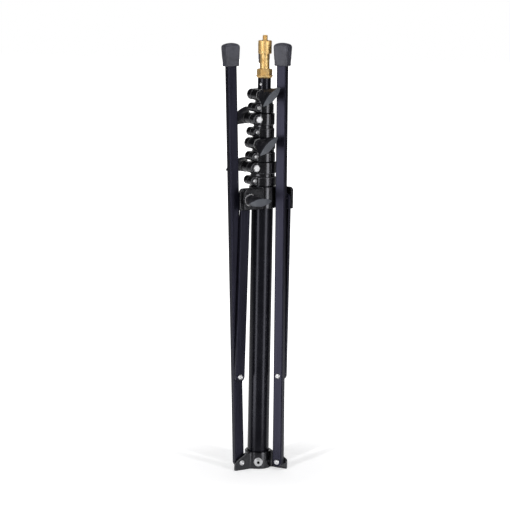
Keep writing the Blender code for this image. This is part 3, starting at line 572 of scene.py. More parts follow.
def spigot():
    """radius(angle, height) = the least of profile, flats and thread, about the column's axis."""
    low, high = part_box("spigot")
    stud_foot = high[2] - STUD_HEIGHT
    head_foot = stud_foot - HEAD_HEIGHT
    hex_top = head_foot - NECK_HEIGHT
    hex_foot = hex_top - HEX_HEIGHT
    seat = hex_foot - FLANGE_HEIGHT
    corners = [
        (0.0, high[2]), *bevel(STUD_RADIUS, high[2], *STUD_BEVEL), (STUD_RADIUS, stud_foot),
        *bevel(HEAD_RADIUS, stud_foot, *HEAD_BEVEL), *bevel(HEAD_RADIUS, head_foot, *HEAD_FOOT_BEVEL),
        (NECK_RADIUS, head_foot), (NECK_RADIUS, hex_top),
        *bevel(HEX_RADIUS, hex_top, *HEX_BEVEL), *bevel(HEX_RADIUS, hex_foot, *HEX_FOOT_BEVEL),
        *bevel(FLANGE_RADIUS, hex_foot, *FLANGE_BEVEL),
        (FLANGE_RADIUS - FLANGE_TAPER[0], hex_foot - FLANGE_TAPER[1]), (FLANGE_RADIUS - SEAT_TAPER, seat),
        (TAIL_RADIUS, seat), (TAIL_RADIUS, low[2]), (0.0, low[2]),
    ]
    profile = rounded(corners, SOFT_EDGE, PROFILE_STEPS)
    profile = subdivided(profile, stud_foot + ROWS_START, high[2] - ROWS_END, THREAD_PITCH / THREAD_ROWS)
    angle = np.linspace(0.0, 2 * np.pi, SPIGOT_SIDES, endpoint=False)
    radius, height = profile[:, 0][:, None], profile[:, 1][:, None]
    apothem = HEX_RADIUS * np.cos(np.pi / 6)
    flat = apothem / np.cos(np.mod(angle, np.pi / 3) - np.pi / 6)
    in_hexagon = (height <= hex_top) & (height > hex_foot + 1e-6) & (radius > NECK_RADIUS + HEX_MARGIN)
    shape = np.where(in_hexagon, np.minimum(radius, flat), radius)
    turns = (height - stud_foot) / THREAD_PITCH - angle / (2 * np.pi)
    # The wave runs from 0 at a crest to 1 at a root, and is flat for a moment at both.
    groove = np.clip(1.5 * np.abs(np.mod(turns, 1.0) * 2 - 1) - 0.25, 0, 1)
    above = height - stud_foot - THREAD_START
    on_stud = (above > 0) & (radius > STUD_RADIUS - STUD_BEVEL[1])
    shape = np.where(on_stud, shape - THREAD_DEPTH * np.clip(above / THREAD_PITCH, 0, 1) * groove, shape)
    points, faces = closed_grid(circles(shape, height, angle))
    piece("spigot_finished", points, faces, "brass_spigot", "riser_4", "spigot")


spigot()

# %% [markdown]
# ## Washers and rivets
# A washer is a ring with rounded edges. A rivet has a low domed head with a small dimple left
# by the punch, and the dimple and the soft rim are what make it glint in the photograph.
# Each is turned about its own axis and then laid along a pivot or a screw.

# %% Sizes shared with the pivots and screws
PIVOT_RADIUS, PIVOT_HEIGHT = 0.0280, 0.0095
MID_PIVOT, STRUT_LENGTH = 0.1068, 0.21525
LEG_LEANS = (2.2, -0.5, 0.6)
LEG_SIDE = 0.0040
GAP = 0.0003
EAR_FACE = 0.0083
STRUT_FACE = 0.0088
SLIDER_EAR_FACE = 0.0126
SLIDER_PIVOT = PIVOT_HEIGHT + MID_PIVOT + STRUT_LENGTH
RIVET_SHANK, RIVET_HEAD, RIVET_DOME = 0.0025, 0.0033, 0.0015
RIVET_BLIND_END = 0.0093
WASHER_RADIUS, WASHER_THICKNESS, FASTENER_EDGE = 0.0072, 0.0010, 0.0003


def strut_lean(lean):
    """Lean of a strut in degrees: it runs from the leaning leg's pivot to the slider's ear."""
    out = MID_PIVOT * np.sin(np.radians(lean))
    rise = MID_PIVOT + STRUT_LENGTH - MID_PIVOT * np.cos(np.radians(lean))
    return float(np.degrees(np.arctan2(-out, rise)))


def leg_frame(index):
    """Turn and origin of a leg: x outward, z along the leg from its lower pivot."""
    arm = ARMS[index]
    return arm @ turn_about(Y, LEG_LEANS[index]), arm @ (PIVOT_RADIUS, 0, PIVOT_HEIGHT)


def strut_frame(index):
    """Turn and origin of a strut: z along the strut from the leg's middle pivot."""
    middle = one_placed((0, 0, MID_PIVOT), *leg_frame(index))
    return ARMS[index] @ turn_about(Y, strut_lean(LEG_LEANS[index])), middle


# %% Washers and rivets as turned profiles
def washer(node, body, turn, origin, base, hole, radius=WASHER_RADIUS):
    """A flat ring from base to base plus its thickness along the turned z axis."""
    top = base + WASHER_THICKNESS
    corners = [(radius, top), (radius, base), (hole, base), (hole, top)]
    profile = rounded(corners, FASTENER_EDGE, closed=True)
    return turned(node, profile, "plated_steel", body, turn, origin, sides=96, ring=True)


HEAD_MARKS = (
    (0.0, 0.80), (0.16, 0.78), (0.27, 0.30), (0.40, 0.30), (0.52, 1.0), (0.74, 0.86), (1.0, 0.26), (1.0, 0.0),
)


def head(seat, up):
    """Corners of a domed rivet head with a punch dimple, from the axis out to the seat.

    HEAD_MARKS gives them as shares of the head's radius and of its height above the seat.
    """
    return [(RIVET_HEAD * out, seat + up * RIVET_DOME * rise) for out, rise in HEAD_MARKS]


def rivet(node, body, turn, origin, high, low=None):
    """Head, shank and, where low is given, a second head; turned about z and laid along y."""
    end = RIVET_BLIND_END if low is None else low
    bottom = [(0.0, end)] if low is None else head(end, -1)[::-1]
    shank = [(RIVET_SHANK, high), (RIVET_SHANK, end)]
    profile = rounded(head(high, 1) + shank + bottom, FASTENER_EDGE)
    turned(node, profile, "plated_steel", body, turn @ Z_TO_Y, origin, 64)


# %% Rivets of the arms
for index in range(3):
    number = index + 1
    leg_turn, pivot = leg_frame(index)
    rivet(f"base_rivet_{number}", "base", ARMS[index], pivot, EAR_FACE + GAP, -LEG_SIDE - GAP)
    middle = one_placed((0, 0, MID_PIVOT), leg_turn, pivot)
    rivet(f"mid_rivet_{number}", f"leg_{number}", leg_turn, middle, STRUT_FACE + GAP, -LEG_SIDE - GAP)
for index in (1, 2):
    at = ARMS[index] @ (PIVOT_RADIUS, 0, SLIDER_PIVOT)
    rivet(f"top_rivet_{index + 1}", "slider", ARMS[index], at, SLIDER_EAR_FACE + GAP)
print("rivets: 8")

# %% [markdown]
# ## Cast and moulded pieces
# A casting has no seams: lugs grow out of the ring with soft fillets and every edge is
# rounded. Describing that face by face is laborious. Describing it as a distance is short:
# a box, a bar or an outline each has a formula for how far a point is from it, two of them
# merge with a fillet, and one carves the other with a soft edge. The surface where the
# distance is zero is then drawn as a net of quads. Each grid cell that the surface crosses
# gets one point, the mean of the crossings on its edges, and each grid line that pierces the
# surface gets a quad between its four cells. A last step slides every point along the
# distance's slope until the distance is zero, and the slope is also the exact normal.

# %% Distances and how they combine
def soft_walls(edge, *walls):
    """Distance of the space behind all walls, its edges rounded by edge.

    With each wall pushed in by edge, it is the length of the positive parts, or the largest
    of them inside, less edge.
    """
    pushed = [wall + edge for wall in walls]
    beyond = np.sqrt(sum(np.maximum(wall, 0.0) ** 2 for wall in pushed))
    return beyond + np.minimum(np.maximum.reduce(pushed), 0.0) - edge


def slab(value, low, high):
    """Distance of the layer between low and high."""
    return np.abs(value - (low + high) / 2) - (high - low) / 2


def merge(first, second, fillet):
    """The smaller distance, lowered by h^2 * fillet / 4 where they differ by less than fillet."""
    near = np.maximum(fillet - np.abs(first - second), 0.0) / fillet
    return np.minimum(first, second) - near**2 * fillet / 4


def carve(solid, tool, edge):
    """Solid without tool: the merge of their negatives, turned back."""
    return -merge(-solid, tool, edge)


# %% Distance of a drawn outline
def outline(x, y, corners):
    """Signed distance of a closed polygon: the nearest edge, negative inside.

    A point is inside when a ray from it crosses the outline an odd number of times.
    """
    nearest = np.full(np.broadcast(x, y).shape, np.inf)
    inside = np.zeros(nearest.shape, dtype=bool)
    for (ax, ay), (bx, by) in zip(corners, [*corners[1:], corners[0]]):
        ex, ey = bx - ax, by - ay
        along = np.clip(((x - ax) * ex + (y - ay) * ey) / (ex * ex + ey * ey), 0.0, 1.0)
        nearest = np.minimum(nearest, (x - ax - along * ex) ** 2 + (y - ay - along * ey) ** 2)
        if ay != by:
            inside ^= ((ay > y) != (by > y)) & (x < ex * (y - ay) / ey + ax)
    return np.where(inside, -1.0, 1.0) * np.sqrt(nearest)


# %% The net of quads where the distance is zero
CORNERS = np.array([(i, j, k) for i in (0, 1) for j in (0, 1) for k in (0, 1)])
CELL_EDGES = [(a, b) for a in range(8) for b in range(a + 1, 8) if np.abs(CORNERS[a] - CORNERS[b]).sum() == 1]
SLOPE_STEP = 0.00002


def slope(distance, points):
    """Central differences of the distance along x, y and z."""
    steps = np.eye(3) * SLOPE_STEP
    pairs = [distance(*(points + step).T) - distance(*(points - step).T) for step in steps]
    return np.stack(pairs, axis=-1) / (2 * SLOPE_STEP)


def cell_points(field, inside, axes):
    """One point per crossed cell, the mean of its edges' crossings, and the cells' numbers."""
    sizes = [len(axis) - 1 for axis in axes]
    windows = [tuple(slice(c, c + size) for c, size in zip(corner, sizes)) for corner in CORNERS]
    filled = sum(inside[window].astype(np.int8) for window in windows)
    crossed = (filled > 0) & (filled < 8)
    cells = np.argwhere(crossed)
    numbers = np.full(crossed.shape, -1)
    numbers[crossed] = np.arange(len(cells))
    values = np.stack([field[window][crossed] for window in windows], axis=-1)
    places = np.stack([axis[cells[:, i, None] + CORNERS[:, i]] for i, axis in enumerate(axes)], axis=-1)
    total, hits = np.zeros((len(cells), 3)), np.zeros(len(cells))
    for a, b in CELL_EDGES:
        cut = (values[:, a] < 0) != (values[:, b] < 0)
        share = np.where(cut, values[:, a] / np.where(cut, values[:, a] - values[:, b], 1.0), 0.0)
        total += cut[:, None] * (places[:, a] + share[:, None] * (places[:, b] - places[:, a]))
        hits += cut
    return total / hits[:, None], numbers


# %% Quads between the cells, and points slid onto the surface
def net(distance, axes):
    """Points, quads and normals of the surface where distance(x, y, z) is zero on a grid."""
    field = distance(*np.meshgrid(*axes, indexing="ij"))
    inside = field < 0
    points, numbers = cell_points(field, inside, axes)
    quads = []
    for main in range(3):
        across = (main + 1) % 3, (main + 2) % 3
        spots = np.argwhere(np.diff(inside.astype(np.int8), axis=main) != 0)
        around = []
        for steps in ((1, 1), (0, 1), (0, 0), (1, 0)):
            cell = spots.copy()
            cell[:, across[0]] -= steps[0]
            cell[:, across[1]] -= steps[1]
            around.append(numbers[tuple(cell.T)])
        quad = np.stack(around, axis=-1)
        outward = inside[tuple(spots.T)]
        quads.append(np.where(outward[:, None], quad, quad[:, ::-1]))
        assert quad.min() >= 0, "the surface leaves the grid"
    limit = 0.5 * min(float(np.diff(axis).min()) for axis in axes)
    for _ in range(3):
        steep = slope(distance, points)
        move = distance(*points.T) / np.maximum((steep**2).sum(axis=1), 0.25)
        points = points - np.clip(move, -limit, limit)[:, None] * steep
    normals = slope(distance, points)
    normals /= np.linalg.norm(normals, axis=1)[:, None]
    return points, np.concatenate(quads), normals


# %% Grid lines, fine where the shape is and coarse where it is plain
def ticks(*stops):
    """Grid lines from (end, step) pairs: the first end starts, each later one is reached by its step."""
    values = [np.array([stops[0][0]])]
    for (start, _), (end, step) in zip(stops, stops[1:]):
        count = max(int(np.ceil((end - start) / step)), 1)
        values.append(np.linspace(start, end, count + 1)[1:])
    return np.concatenate(values)


def even(low, high, step):
    """Evenly spaced grid lines from just below low to just above high."""
    return ticks((low - 1.5 * step, step), (high + 1.5 * step, step))


# %% Cast pieces and the marks that their finishes read
def sunk(depth, start, fade):
    """A mark that grows from 0 at a depth of start to 1 at start plus fade."""
    return np.clip((depth - start) / fade, 0, 1)


def own_points(obj, turn, origin):
    """A drawn piece's points back in its own frame: turn transposed times (point - origin)."""
    points = np.empty(3 * len(obj.data.vertices), dtype=np.float32)
    obj.data.vertices.foreach_get("co", points)
    return (points.reshape(-1, 3) - np.asarray(origin)) @ turn


EDGE_DEPTH, EDGE_FLOOR, EDGE_GAIN = 0.0004, 0.12, 4.0


def cast(node, finish, body, distance, axes, turn=UP, origin=(0, 0, 0)):
    """Draws a distance field given in a local frame as one closed piece in its place.

    The mark "edge" is 1 + distance(point - depth * normal) / depth, times EDGE_GAIN: deep
    under a flat the distance is -depth, so the mark is 0, and beside an edge it grows. Where it
    grows the black finishes paint a pale line: a painted highlight, and partly worn coat.
    """
    points, faces, normals = net(distance, axes)
    name = node + "_finished"
    obj = piece(name, placed(points, turn, origin), faces, finish, body, node, normals @ turn.T)
    under = points - EDGE_DEPTH * normals
    sharp = 1.0 + distance(under[:, 0], under[:, 1], under[:, 2]) / EDGE_DEPTH
    mark(obj, "edge", np.clip(EDGE_GAIN * (sharp - EDGE_FLOOR), 0.0, 1.0))
    print(name, len(faces), "quads")
    return obj

# %% [markdown]
# ## Base casting
# The hub is a short cup that the main tube stands in. Beside each leg an ear grows out of it,
# with a sloped top that catches the light as a thin bright line. Hub and ears merge with a
# fillet, then the bore, the pivot holes and the flat for the bolt's washer are carved out.

# %% Base casting
CAST_STEP = 0.00048
HUB_RADIUS, HUB_HEIGHT, HUB_FLOOR = 0.0161, 0.0206, 0.0030
HUB_EDGE, EAR_EDGE, EAR_FILLET = 0.0008, 0.0006, 0.0022
BORE_CORNER, BORE_EDGE, HOLE_EDGE, SPOT_EDGE = 0.0005, 0.0006, 0.0003, 0.0002
EAR_REACH, EAR_TIP, EAR_SLOPE_START, EAR_BEVEL = 0.0365, 0.0117, 0.0226, (0.0010, 0.0017)
EAR_INNER, EAR_TOP = LEG_SIDE + GAP, HUB_HEIGHT - 0.0005
BOLT_HEIGHT = 0.0089
SPOT_RADIUS, SPOT_DEPTH = 0.0055, 0.0007
HOLE_RADIUS = RIVET_SHANK + GAP
EAR_OUTLINE = [
    (HUB_RADIUS / 2, 0.0), (EAR_REACH, 0.0), *bevel(EAR_REACH, EAR_TIP, *EAR_BEVEL)[::-1],
    (EAR_SLOPE_START, EAR_TOP), (HUB_RADIUS / 2, EAR_TOP),
]


def arm_coordinates(x, y, azimuth):
    """Coordinates outward and along the pivot axis of an arm: the point turned back by azimuth."""
    c, s = np.cos(np.radians(azimuth)), np.sin(np.radians(azimuth))
    return x * c + y * s, y * c - x * s


def base_casting(x, y, z):
    """Hub merged with three ears, less bore, holes and spot face."""
    radius = np.hypot(x, y)
    solid = soft_walls(HUB_EDGE, radius - HUB_RADIUS, slab(z, 0.0, HUB_HEIGHT))
    for azimuth in ARM_AZIMUTHS:
        out, along = arm_coordinates(x, y, azimuth)
        ear = soft_walls(EAR_EDGE, outline(out, z, EAR_OUTLINE), slab(along, EAR_INNER, EAR_FACE))
        hole = np.maximum(np.hypot(out - PIVOT_RADIUS, z - PIVOT_HEIGHT) - HOLE_RADIUS, -along)
        solid = carve(merge(solid, ear, EAR_FILLET), hole, HOLE_EDGE)
    solid = np.maximum(solid, slab(z, 0.0, HUB_HEIGHT))
    bore = soft_walls(BORE_CORNER, radius - TUBE_RADII[0] - GAP, HUB_FLOOR - z)
    spot = np.maximum(np.hypot(x, z - BOLT_HEIGHT) - SPOT_RADIUS, y + HUB_RADIUS - SPOT_DEPTH)
    shank = np.maximum(np.hypot(x, z - BOLT_HEIGHT) - HOLE_RADIUS, y)
    return carve(carve(carve(solid, bore, BORE_EDGE), spot, SPOT_EDGE), shank, SPOT_EDGE)


plan = even(-EAR_REACH - 0.0005, EAR_REACH + 0.0005, CAST_STEP)
cast("base_casting", "black_casting", "base", base_casting, (plan, plan, even(0.0, HUB_HEIGHT, CAST_STEP)))

# %% [markdown]
# ## Base bolt
# A socket-head bolt with a plain washer pins the tube in the hub, on the front. Its hexagon
# socket shows as a dark centre in a bright ring. A turned profile could give the head but not
# the hexagon, so the same distances as in the casting draw it, on a finer grid that widens
# along the hidden shank.

# %% Base bolt and its washer
BOLT_RADIUS, BOLT_HEAD, BOLT_HEAD_HEIGHT = 0.0025, 0.0040, 0.0022
SOCKET_RADIUS, SOCKET_DEPTH = 0.0019, 0.0014
BOLT_END, BOLT_OVERLAP = 0.0090, 0.0010
HEAD_EDGE, SHANK_EDGE, BOLT_FILLET = 0.0006, 0.0003, 0.0003
BOLT_SEAT = HUB_RADIUS - SPOT_DEPTH + GAP
BOLT_FOOT = BOLT_SEAT + WASHER_THICKNESS + GAP
BOLT_TOP = BOLT_FOOT + BOLT_HEAD_HEIGHT
BOLT_STEP, SHANK_STEP = 0.00016, 0.0009
SOCKET_SHADE_DEPTHS, BASE_WASHER_RADIUS = (0.0002, 0.0003), 0.0052


def hexagon(x, y, apothem):
    """Distance of a hexagon: the largest of the distances from its three pairs of flats."""
    flats = [np.abs(x * np.cos(a) + y * np.sin(a)) - apothem for a in np.radians((30.0, 90.0, 150.0))]
    return np.maximum.reduce(flats)


def base_bolt(x, y, z):
    """Head and shank along z, less a hexagon socket with a drilled bottom."""
    radius = np.hypot(x, y)
    bolt_head = soft_walls(HEAD_EDGE, radius - BOLT_HEAD, slab(z, BOLT_FOOT, BOLT_TOP))
    shank = soft_walls(SHANK_EDGE, radius - BOLT_RADIUS, slab(z, BOLT_END, BOLT_FOOT + BOLT_OVERLAP))
    socket = np.maximum(hexagon(x, y, SOCKET_RADIUS * np.cos(np.pi / 6)), BOLT_TOP - SOCKET_DEPTH - z)
    return carve(merge(bolt_head, shank, BOLT_FILLET), socket, BOLT_FILLET)


bolt_turn, bolt_at = turn_about(Z, 270.0) @ Z_TO_X, (0, 0, BOLT_HEIGHT)
face = even(-BOLT_HEAD, BOLT_HEAD, BOLT_STEP)
depth = ticks(
    (BOLT_END - 0.0005, 0.0003), (BOLT_END + 0.0005, 0.0003), (0.0160, SHANK_STEP), (0.0196, BOLT_STEP),
)
bolt = cast("base_bolt", "plated_steel", "base", base_bolt, (face, face, depth), bolt_turn, bolt_at)
local = own_points(bolt, bolt_turn, bolt_at)
in_socket = np.hypot(local[:, 0], local[:, 1]) < SOCKET_RADIUS
# The socket's floor is painted dark: painted shade.
mark(bolt, "recess", sunk(BOLT_TOP - local[:, 2], *SOCKET_SHADE_DEPTHS) * in_socket)
washer("base_washer", "base", bolt_turn, bolt_at, BOLT_SEAT, BOLT_RADIUS + GAP, BASE_WASHER_RADIUS)

# %% [markdown]
# ## Collars
# Each collar grips the tube below in its lower ring and squeezes the riser in its upper ring.
# A waist separates the rings, two lugs carry the screws on the left, and one slit runs the
# whole height. The clamp's screw has a hexagon head on one side and a wing knob on the other,
# and the knobs point forwards and backwards in turn, so that neighbours don't touch. The four
# collars differ only in their tubes' radii. Four modelled collars would be four times the
# work, so one function makes a distance for each from the radii measured above.

# %% Collar sizes and field
COLLAR_HEIGHT, COLLAR_WALL, COLLAR_SEAT = 0.0285, 0.0026, 0.0130
FIX_RING, GROOVE_HEIGHT, GROOVE_DEPTH = 0.0105, 0.0045, 0.0012
SCREW_OFFSET = 0.0030
FIX_LUG_RADIUS, FIX_LUG_HEIGHT, FIX_LUG_FRONT = 0.0053, 0.0065, 0.0085
CLAMP_LUG_RADIUS, LUG_MARGIN = 0.0064, 0.00025
CLAMP_HEIGHT = COLLAR_HEIGHT - CLAMP_LUG_RADIUS - LUG_MARGIN
HEAD_SIDE, KNOB_SIDE = 0.0095, 0.0125
COLLAR_SLIT = 0.0012
SCREW_RADIUS = 0.0020
KNOB_SIDES = (-1, 1, -1, 1)
# An edge is how round a corner is, a fillet how much a joint is filled, a cut how soft its rim is.
RING_EDGE, WAIST_EDGE, WAIST_CUT = 0.0009, 0.0006, 0.0005
LUG_EDGE, LUG_FILLET, LUG_START = 0.0009, 0.0016, 0.0040
SLIT_CUT, HOLE_CUT = 0.0005, 0.0004
COLLAR_STEP = 0.00042
LUG_TURN = turn_about(Z, ARM_AZIMUTHS[0])
COLLAR_BODIES = ("base", "riser_1", "riser_2", "riser_3")
COLLAR_FEET = [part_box(f"collar_{number}")[0][2] for number in range(1, 5)]


def lug(x, y, z, reach, height, radius, near, far):
    """A bar around the screw axis, drawn out to the column: a stadium across x and z."""
    across = np.where(x < reach, np.abs(z - height) - radius, np.hypot(x - reach, z - height) - radius)
    return soft_walls(LUG_EDGE, across, slab(y, near, far), LUG_START - x)


def screw_place(i, height, along=0.0):
    """A place on the axis of collar i's screw at this height, along from the middle plane."""
    return one_placed((TUBE_RADII[i] + SCREW_OFFSET, along, height + COLLAR_FEET[i]), LUG_TURN)


def collar_field(i):
    """Returns the distance of collar i in its own frame: x towards the lugs, z up from its foot."""
    outer = TUBE_RADII[i] + COLLAR_WALL
    reach = TUBE_RADII[i] + SCREW_OFFSET
    clamp_ends = sorted((-KNOB_SIDES[i] * HEAD_SIDE, KNOB_SIDES[i] * KNOB_SIDE))

    def distance(x, y, z):
        """Ring, groove, lugs, stepped bore, slit and screw holes."""
        radius = np.hypot(x, y)
        ring = soft_walls(RING_EDGE, radius - outer, slab(z, 0.0, COLLAR_HEIGHT))
        groove = slab(z, FIX_RING, FIX_RING + GROOVE_HEIGHT)
        waist = soft_walls(WAIST_EDGE, outer - GROOVE_DEPTH - radius, groove)
        solid = carve(ring, waist, WAIST_CUT)
        clamp = lug(x, y, z, reach, CLAMP_HEIGHT, CLAMP_LUG_RADIUS, *clamp_ends)
        fixing = lug(x, y, z, reach, FIX_LUG_HEIGHT, FIX_LUG_RADIUS, -HEAD_SIDE, FIX_LUG_FRONT)
        solid = merge(merge(solid, clamp, LUG_FILLET), fixing, LUG_FILLET)
        solid = np.maximum(solid, slab(z, 0.0, COLLAR_HEIGHT))
        low_bore = np.maximum(radius - TUBE_RADII[i] - GAP, z - COLLAR_SEAT)
        high_bore = radius - TUBE_RADII[i + 1] - GAP
        slit = np.maximum(np.abs(y) - COLLAR_SLIT / 2, -x)
        holes = [np.hypot(x - reach, z - at) - SCREW_RADIUS - GAP for at in (CLAMP_HEIGHT, FIX_LUG_HEIGHT)]
        solid = carve(carve(solid, np.minimum(low_bore, high_bore), HOLE_CUT), slit, SLIT_CUT)
        return carve(solid, np.minimum(*holes), HOLE_CUT)

    return distance


# %% Draw the four collars
for i, body in enumerate(COLLAR_BODIES):
    outer = TUBE_RADII[i] + COLLAR_WALL
    far = TUBE_RADII[i] + SCREW_OFFSET + CLAMP_LUG_RADIUS
    side = max(outer, KNOB_SIDE)
    spans = (-outer, far), (-side, side), (0.0, COLLAR_HEIGHT)
    grid = [even(*span, COLLAR_STEP) for span in spans]
    cast(f"collar_{i + 1}", "black_casting", body, collar_field(i), grid, LUG_TURN, (0, 0, COLLAR_FEET[i]))

# %% [markdown]
# ## Screws of the collars
# The fixing screws are pan heads with a cross recess, and the clamp screws have hexagon heads
# with a chamfer. Both glint on the front of the stand, so their heads get a fine grid, and
# their shanks, which hide in the lugs, a coarse one.

# %% Fixing screws, clamp bolts and their washers
PAN_RADIUS, PAN_HEIGHT, PAN_EDGE = 0.0027, 0.0016, 0.0003
PAN_SEAT = FIX_LUG_FRONT + GAP
PAN_BALL = (PAN_RADIUS**2 + PAN_HEIGHT**2) / (2 * PAN_HEIGHT)
CROSS_WIDTH, CROSS_REACH, CROSS_CONE, CROSS_SHADE_DEPTHS = 0.0007, 0.0016, 0.0016, (0.0001, 0.0002)
NUT_RADIUS, NUT_HEIGHT, NUT_CHAMFER, NUT_EDGE = 0.0042, 0.0032, 1.9, 0.0002
SCREW_FILLET, SCREW_OVERLAP = 0.0002, 0.0005
KNOB_THREAD = 0.0090
KNOB_SEAT = KNOB_SIDE + 2 * GAP + WASHER_THICKNESS
KNOB_WASHER_RADIUS = 0.0069
# The cross recess and the knobs' washers are painted dark: painted shade, most on side -1 washers.
CROSS_SHADE, WASHER_SHADE = 0.5, {-1: 0.9, 1: 0.5}
PAN_STEP, NUT_STEP = 0.00014, 0.00022


def pan_ball(radius, z):
    """Distance of the ball whose cap is the pan head."""
    return np.hypot(radius, z - PAN_SEAT - PAN_HEIGHT + PAN_BALL) - PAN_BALL


def fixing_screw(x, y, z):
    """A low ball over the shank, less a cross whose arms are tapered by a cone."""
    radius = np.hypot(x, y)
    pan = soft_walls(PAN_EDGE, radius - PAN_RADIUS, pan_ball(radius, z), PAN_SEAT - z)
    shank = np.maximum(radius - SCREW_RADIUS, slab(z, -HEAD_SIDE, PAN_SEAT + SCREW_OVERLAP))
    arms = np.minimum(np.abs(x), np.abs(y)) - CROSS_WIDTH / 2
    cone = radius - CROSS_REACH + (PAN_SEAT + PAN_HEIGHT - z) * CROSS_REACH / CROSS_CONE
    return carve(merge(pan, shank, SCREW_FILLET), np.maximum(arms, cone), SCREW_FILLET)


# %% The dark cross and the clamp bolt
def mark_cross(obj, local):
    """Marks as sunk what lies under the ball of the head, inside the cross's reach, where the finish paints
    shade.
    """
    radius = np.hypot(local[:, 0], local[:, 1])
    inside = (radius < CROSS_REACH) & (local[:, 2] > FIX_LUG_FRONT)
    mark(obj, "recess", CROSS_SHADE * sunk(-pan_ball(radius, local[:, 2]), *CROSS_SHADE_DEPTHS) * inside)


def clamp_bolt(x, y, z):
    """A hexagon with a turned chamfer on its face, and a shank that ends in the knob."""
    foot = -HEAD_SIDE - GAP
    end = KNOB_SEAT + KNOB_THREAD - 2 * GAP
    radius = np.hypot(x, y)
    apothem = NUT_RADIUS * np.cos(np.pi / 6)
    cone = (radius - apothem - (z - foot + NUT_HEIGHT) * NUT_CHAMFER) / np.hypot(1.0, NUT_CHAMFER)
    nut = soft_walls(NUT_EDGE, hexagon(x, y, apothem), slab(z, foot - NUT_HEIGHT, foot), cone)
    shank = soft_walls(SHANK_EDGE, radius - SCREW_RADIUS, slab(z, foot - SCREW_OVERLAP, end))
    return merge(nut, shank, SCREW_FILLET)


# %% Draw the screws, bolts and washers of the four collars
LUG_SIDE_TURNS = {1: LUG_TURN @ Z_TO_Y, -1: LUG_TURN @ Z_TO_MINUS_Y}
# The lines are close in the heads, at the outer ends, and wide apart along the shanks.
pan_span = even(-PAN_RADIUS, PAN_RADIUS, PAN_STEP)
pan_length = ticks((-0.0100, 0.0003), (-0.0090, 0.0003), (0.0084, 0.0012), (0.0108, PAN_STEP))
nut_span = even(-NUT_RADIUS, NUT_RADIUS, NUT_STEP)
nut_length = ticks((-0.0134, 0.0002), (-0.0092, 0.0002), (0.0218, 0.0012), (0.0234, 0.0003))
for i, body in enumerate(COLLAR_BODIES):
    number, turn = i + 1, LUG_TURN @ Z_TO_Y
    fix_at, clamp_at = screw_place(i, FIX_LUG_HEIGHT), screw_place(i, CLAMP_HEIGHT)
    grid = pan_span, pan_span, pan_length
    screw = cast(f"fixing_screw_{number}", "plated_steel", body, fixing_screw, grid, turn, fix_at)
    mark_cross(screw, own_points(screw, turn, fix_at))
    turn, grid = LUG_SIDE_TURNS[KNOB_SIDES[i]], (nut_span, nut_span, nut_length)
    cast(f"clamp_bolt_{number}", "plated_steel", body, clamp_bolt, grid, turn, clamp_at)
    hole = SCREW_RADIUS + GAP
    flat = washer(f"knob_washer_{number}", body, turn, clamp_at, KNOB_SIDE + GAP, hole, KNOB_WASHER_RADIUS)
    # The washer is painted dark as painted shade, more on side -1.
    mark(flat, "recess", np.full(len(flat.data.vertices), WASHER_SHADE[KNOB_SIDES[i]]))

# %% [markdown]
# ## Wing knobs
# A knob is a round boss with a fan-shaped wing. Seen from its end the wing is a leaf with two
# pointed tips, which is the pale leaf that each front knob shows in the photograph; its paler
# grey is painted light. In the distance it is the space inside two big circles and inside the
# fan's outline, with a soft edge around the leaf and a fillet where the fan meets the boss.

# %% Wing knobs
KNOB_HEIGHT, KNOB_LENGTH, KNOB_THICKNESS = 0.0235, 0.0330, 0.0090
KNOB_BASE, KNOB_BASE_HEIGHT = 0.0066, 0.0035
KNOB_NECK, KNOB_NECK_START, KNOB_NECK_HEIGHT = 0.0052, 0.0005, 0.0120
KNOB_ROOT, KNOB_WING_START = 0.0110, 0.0025
KNOB_EDGE, WING_EDGE, NECK_FILLET, WING_FILLET = 0.0007, 0.0006, 0.0008, 0.0020
DISH_DEPTH, DISH_MIDDLE, DISH_HALF = 0.0008, 0.0135, 0.0085
PALM_EDGE, PALM_FADE = 0.0008, 0.0004
KNOB_STEP, KNOB_CUT = 0.00034, 0.0003
KNOB_TURNS = (-28.0, 41.0, -45.0, 43.0)
SLIDER_KNOB_TURN = 4.0
FAN_RIM = [(KNOB_LENGTH * out, KNOB_HEIGHT * up) for out, up in ((0.22, 1.0), (0.45, 0.97), (0.5, 0.86))]
FAN = [
    (-KNOB_ROOT / 2, KNOB_WING_START), (KNOB_ROOT / 2, KNOB_WING_START),
    *reversed(FAN_RIM), *((-x, z) for x, z in FAN_RIM),
]


def knob_field(thread):
    """Returns a knob's distance about z: boss, neck and wing, less a blind bore of radius thread."""
    bulge, half = KNOB_THICKNESS / 2, KNOB_LENGTH / 2
    circle = (half**2 + bulge**2) / (2 * bulge)

    def distance(x, y, z):
        """Boss and neck merged with the fan cut to a leaf."""
        radius = np.hypot(x, y)
        boss = soft_walls(KNOB_EDGE, radius - KNOB_BASE, slab(z, 0.0, KNOB_BASE_HEIGHT))
        neck = soft_walls(KNOB_EDGE, radius - KNOB_NECK, slab(z, KNOB_NECK_START, KNOB_NECK_HEIGHT))
        leaf = np.maximum(np.hypot(x, y - bulge + circle), np.hypot(x, y + bulge - circle)) - circle
        dish = DISH_DEPTH * np.clip(1 - ((z - DISH_MIDDLE) / DISH_HALF) ** 2, 0, 1)
        wing = soft_walls(WING_EDGE, leaf + dish, outline(x, z, FAN))
        solid = merge(merge(boss, neck, NECK_FILLET), wing, WING_FILLET)
        return carve(solid, np.maximum(radius - thread, z - KNOB_THREAD), KNOB_CUT)

    return distance


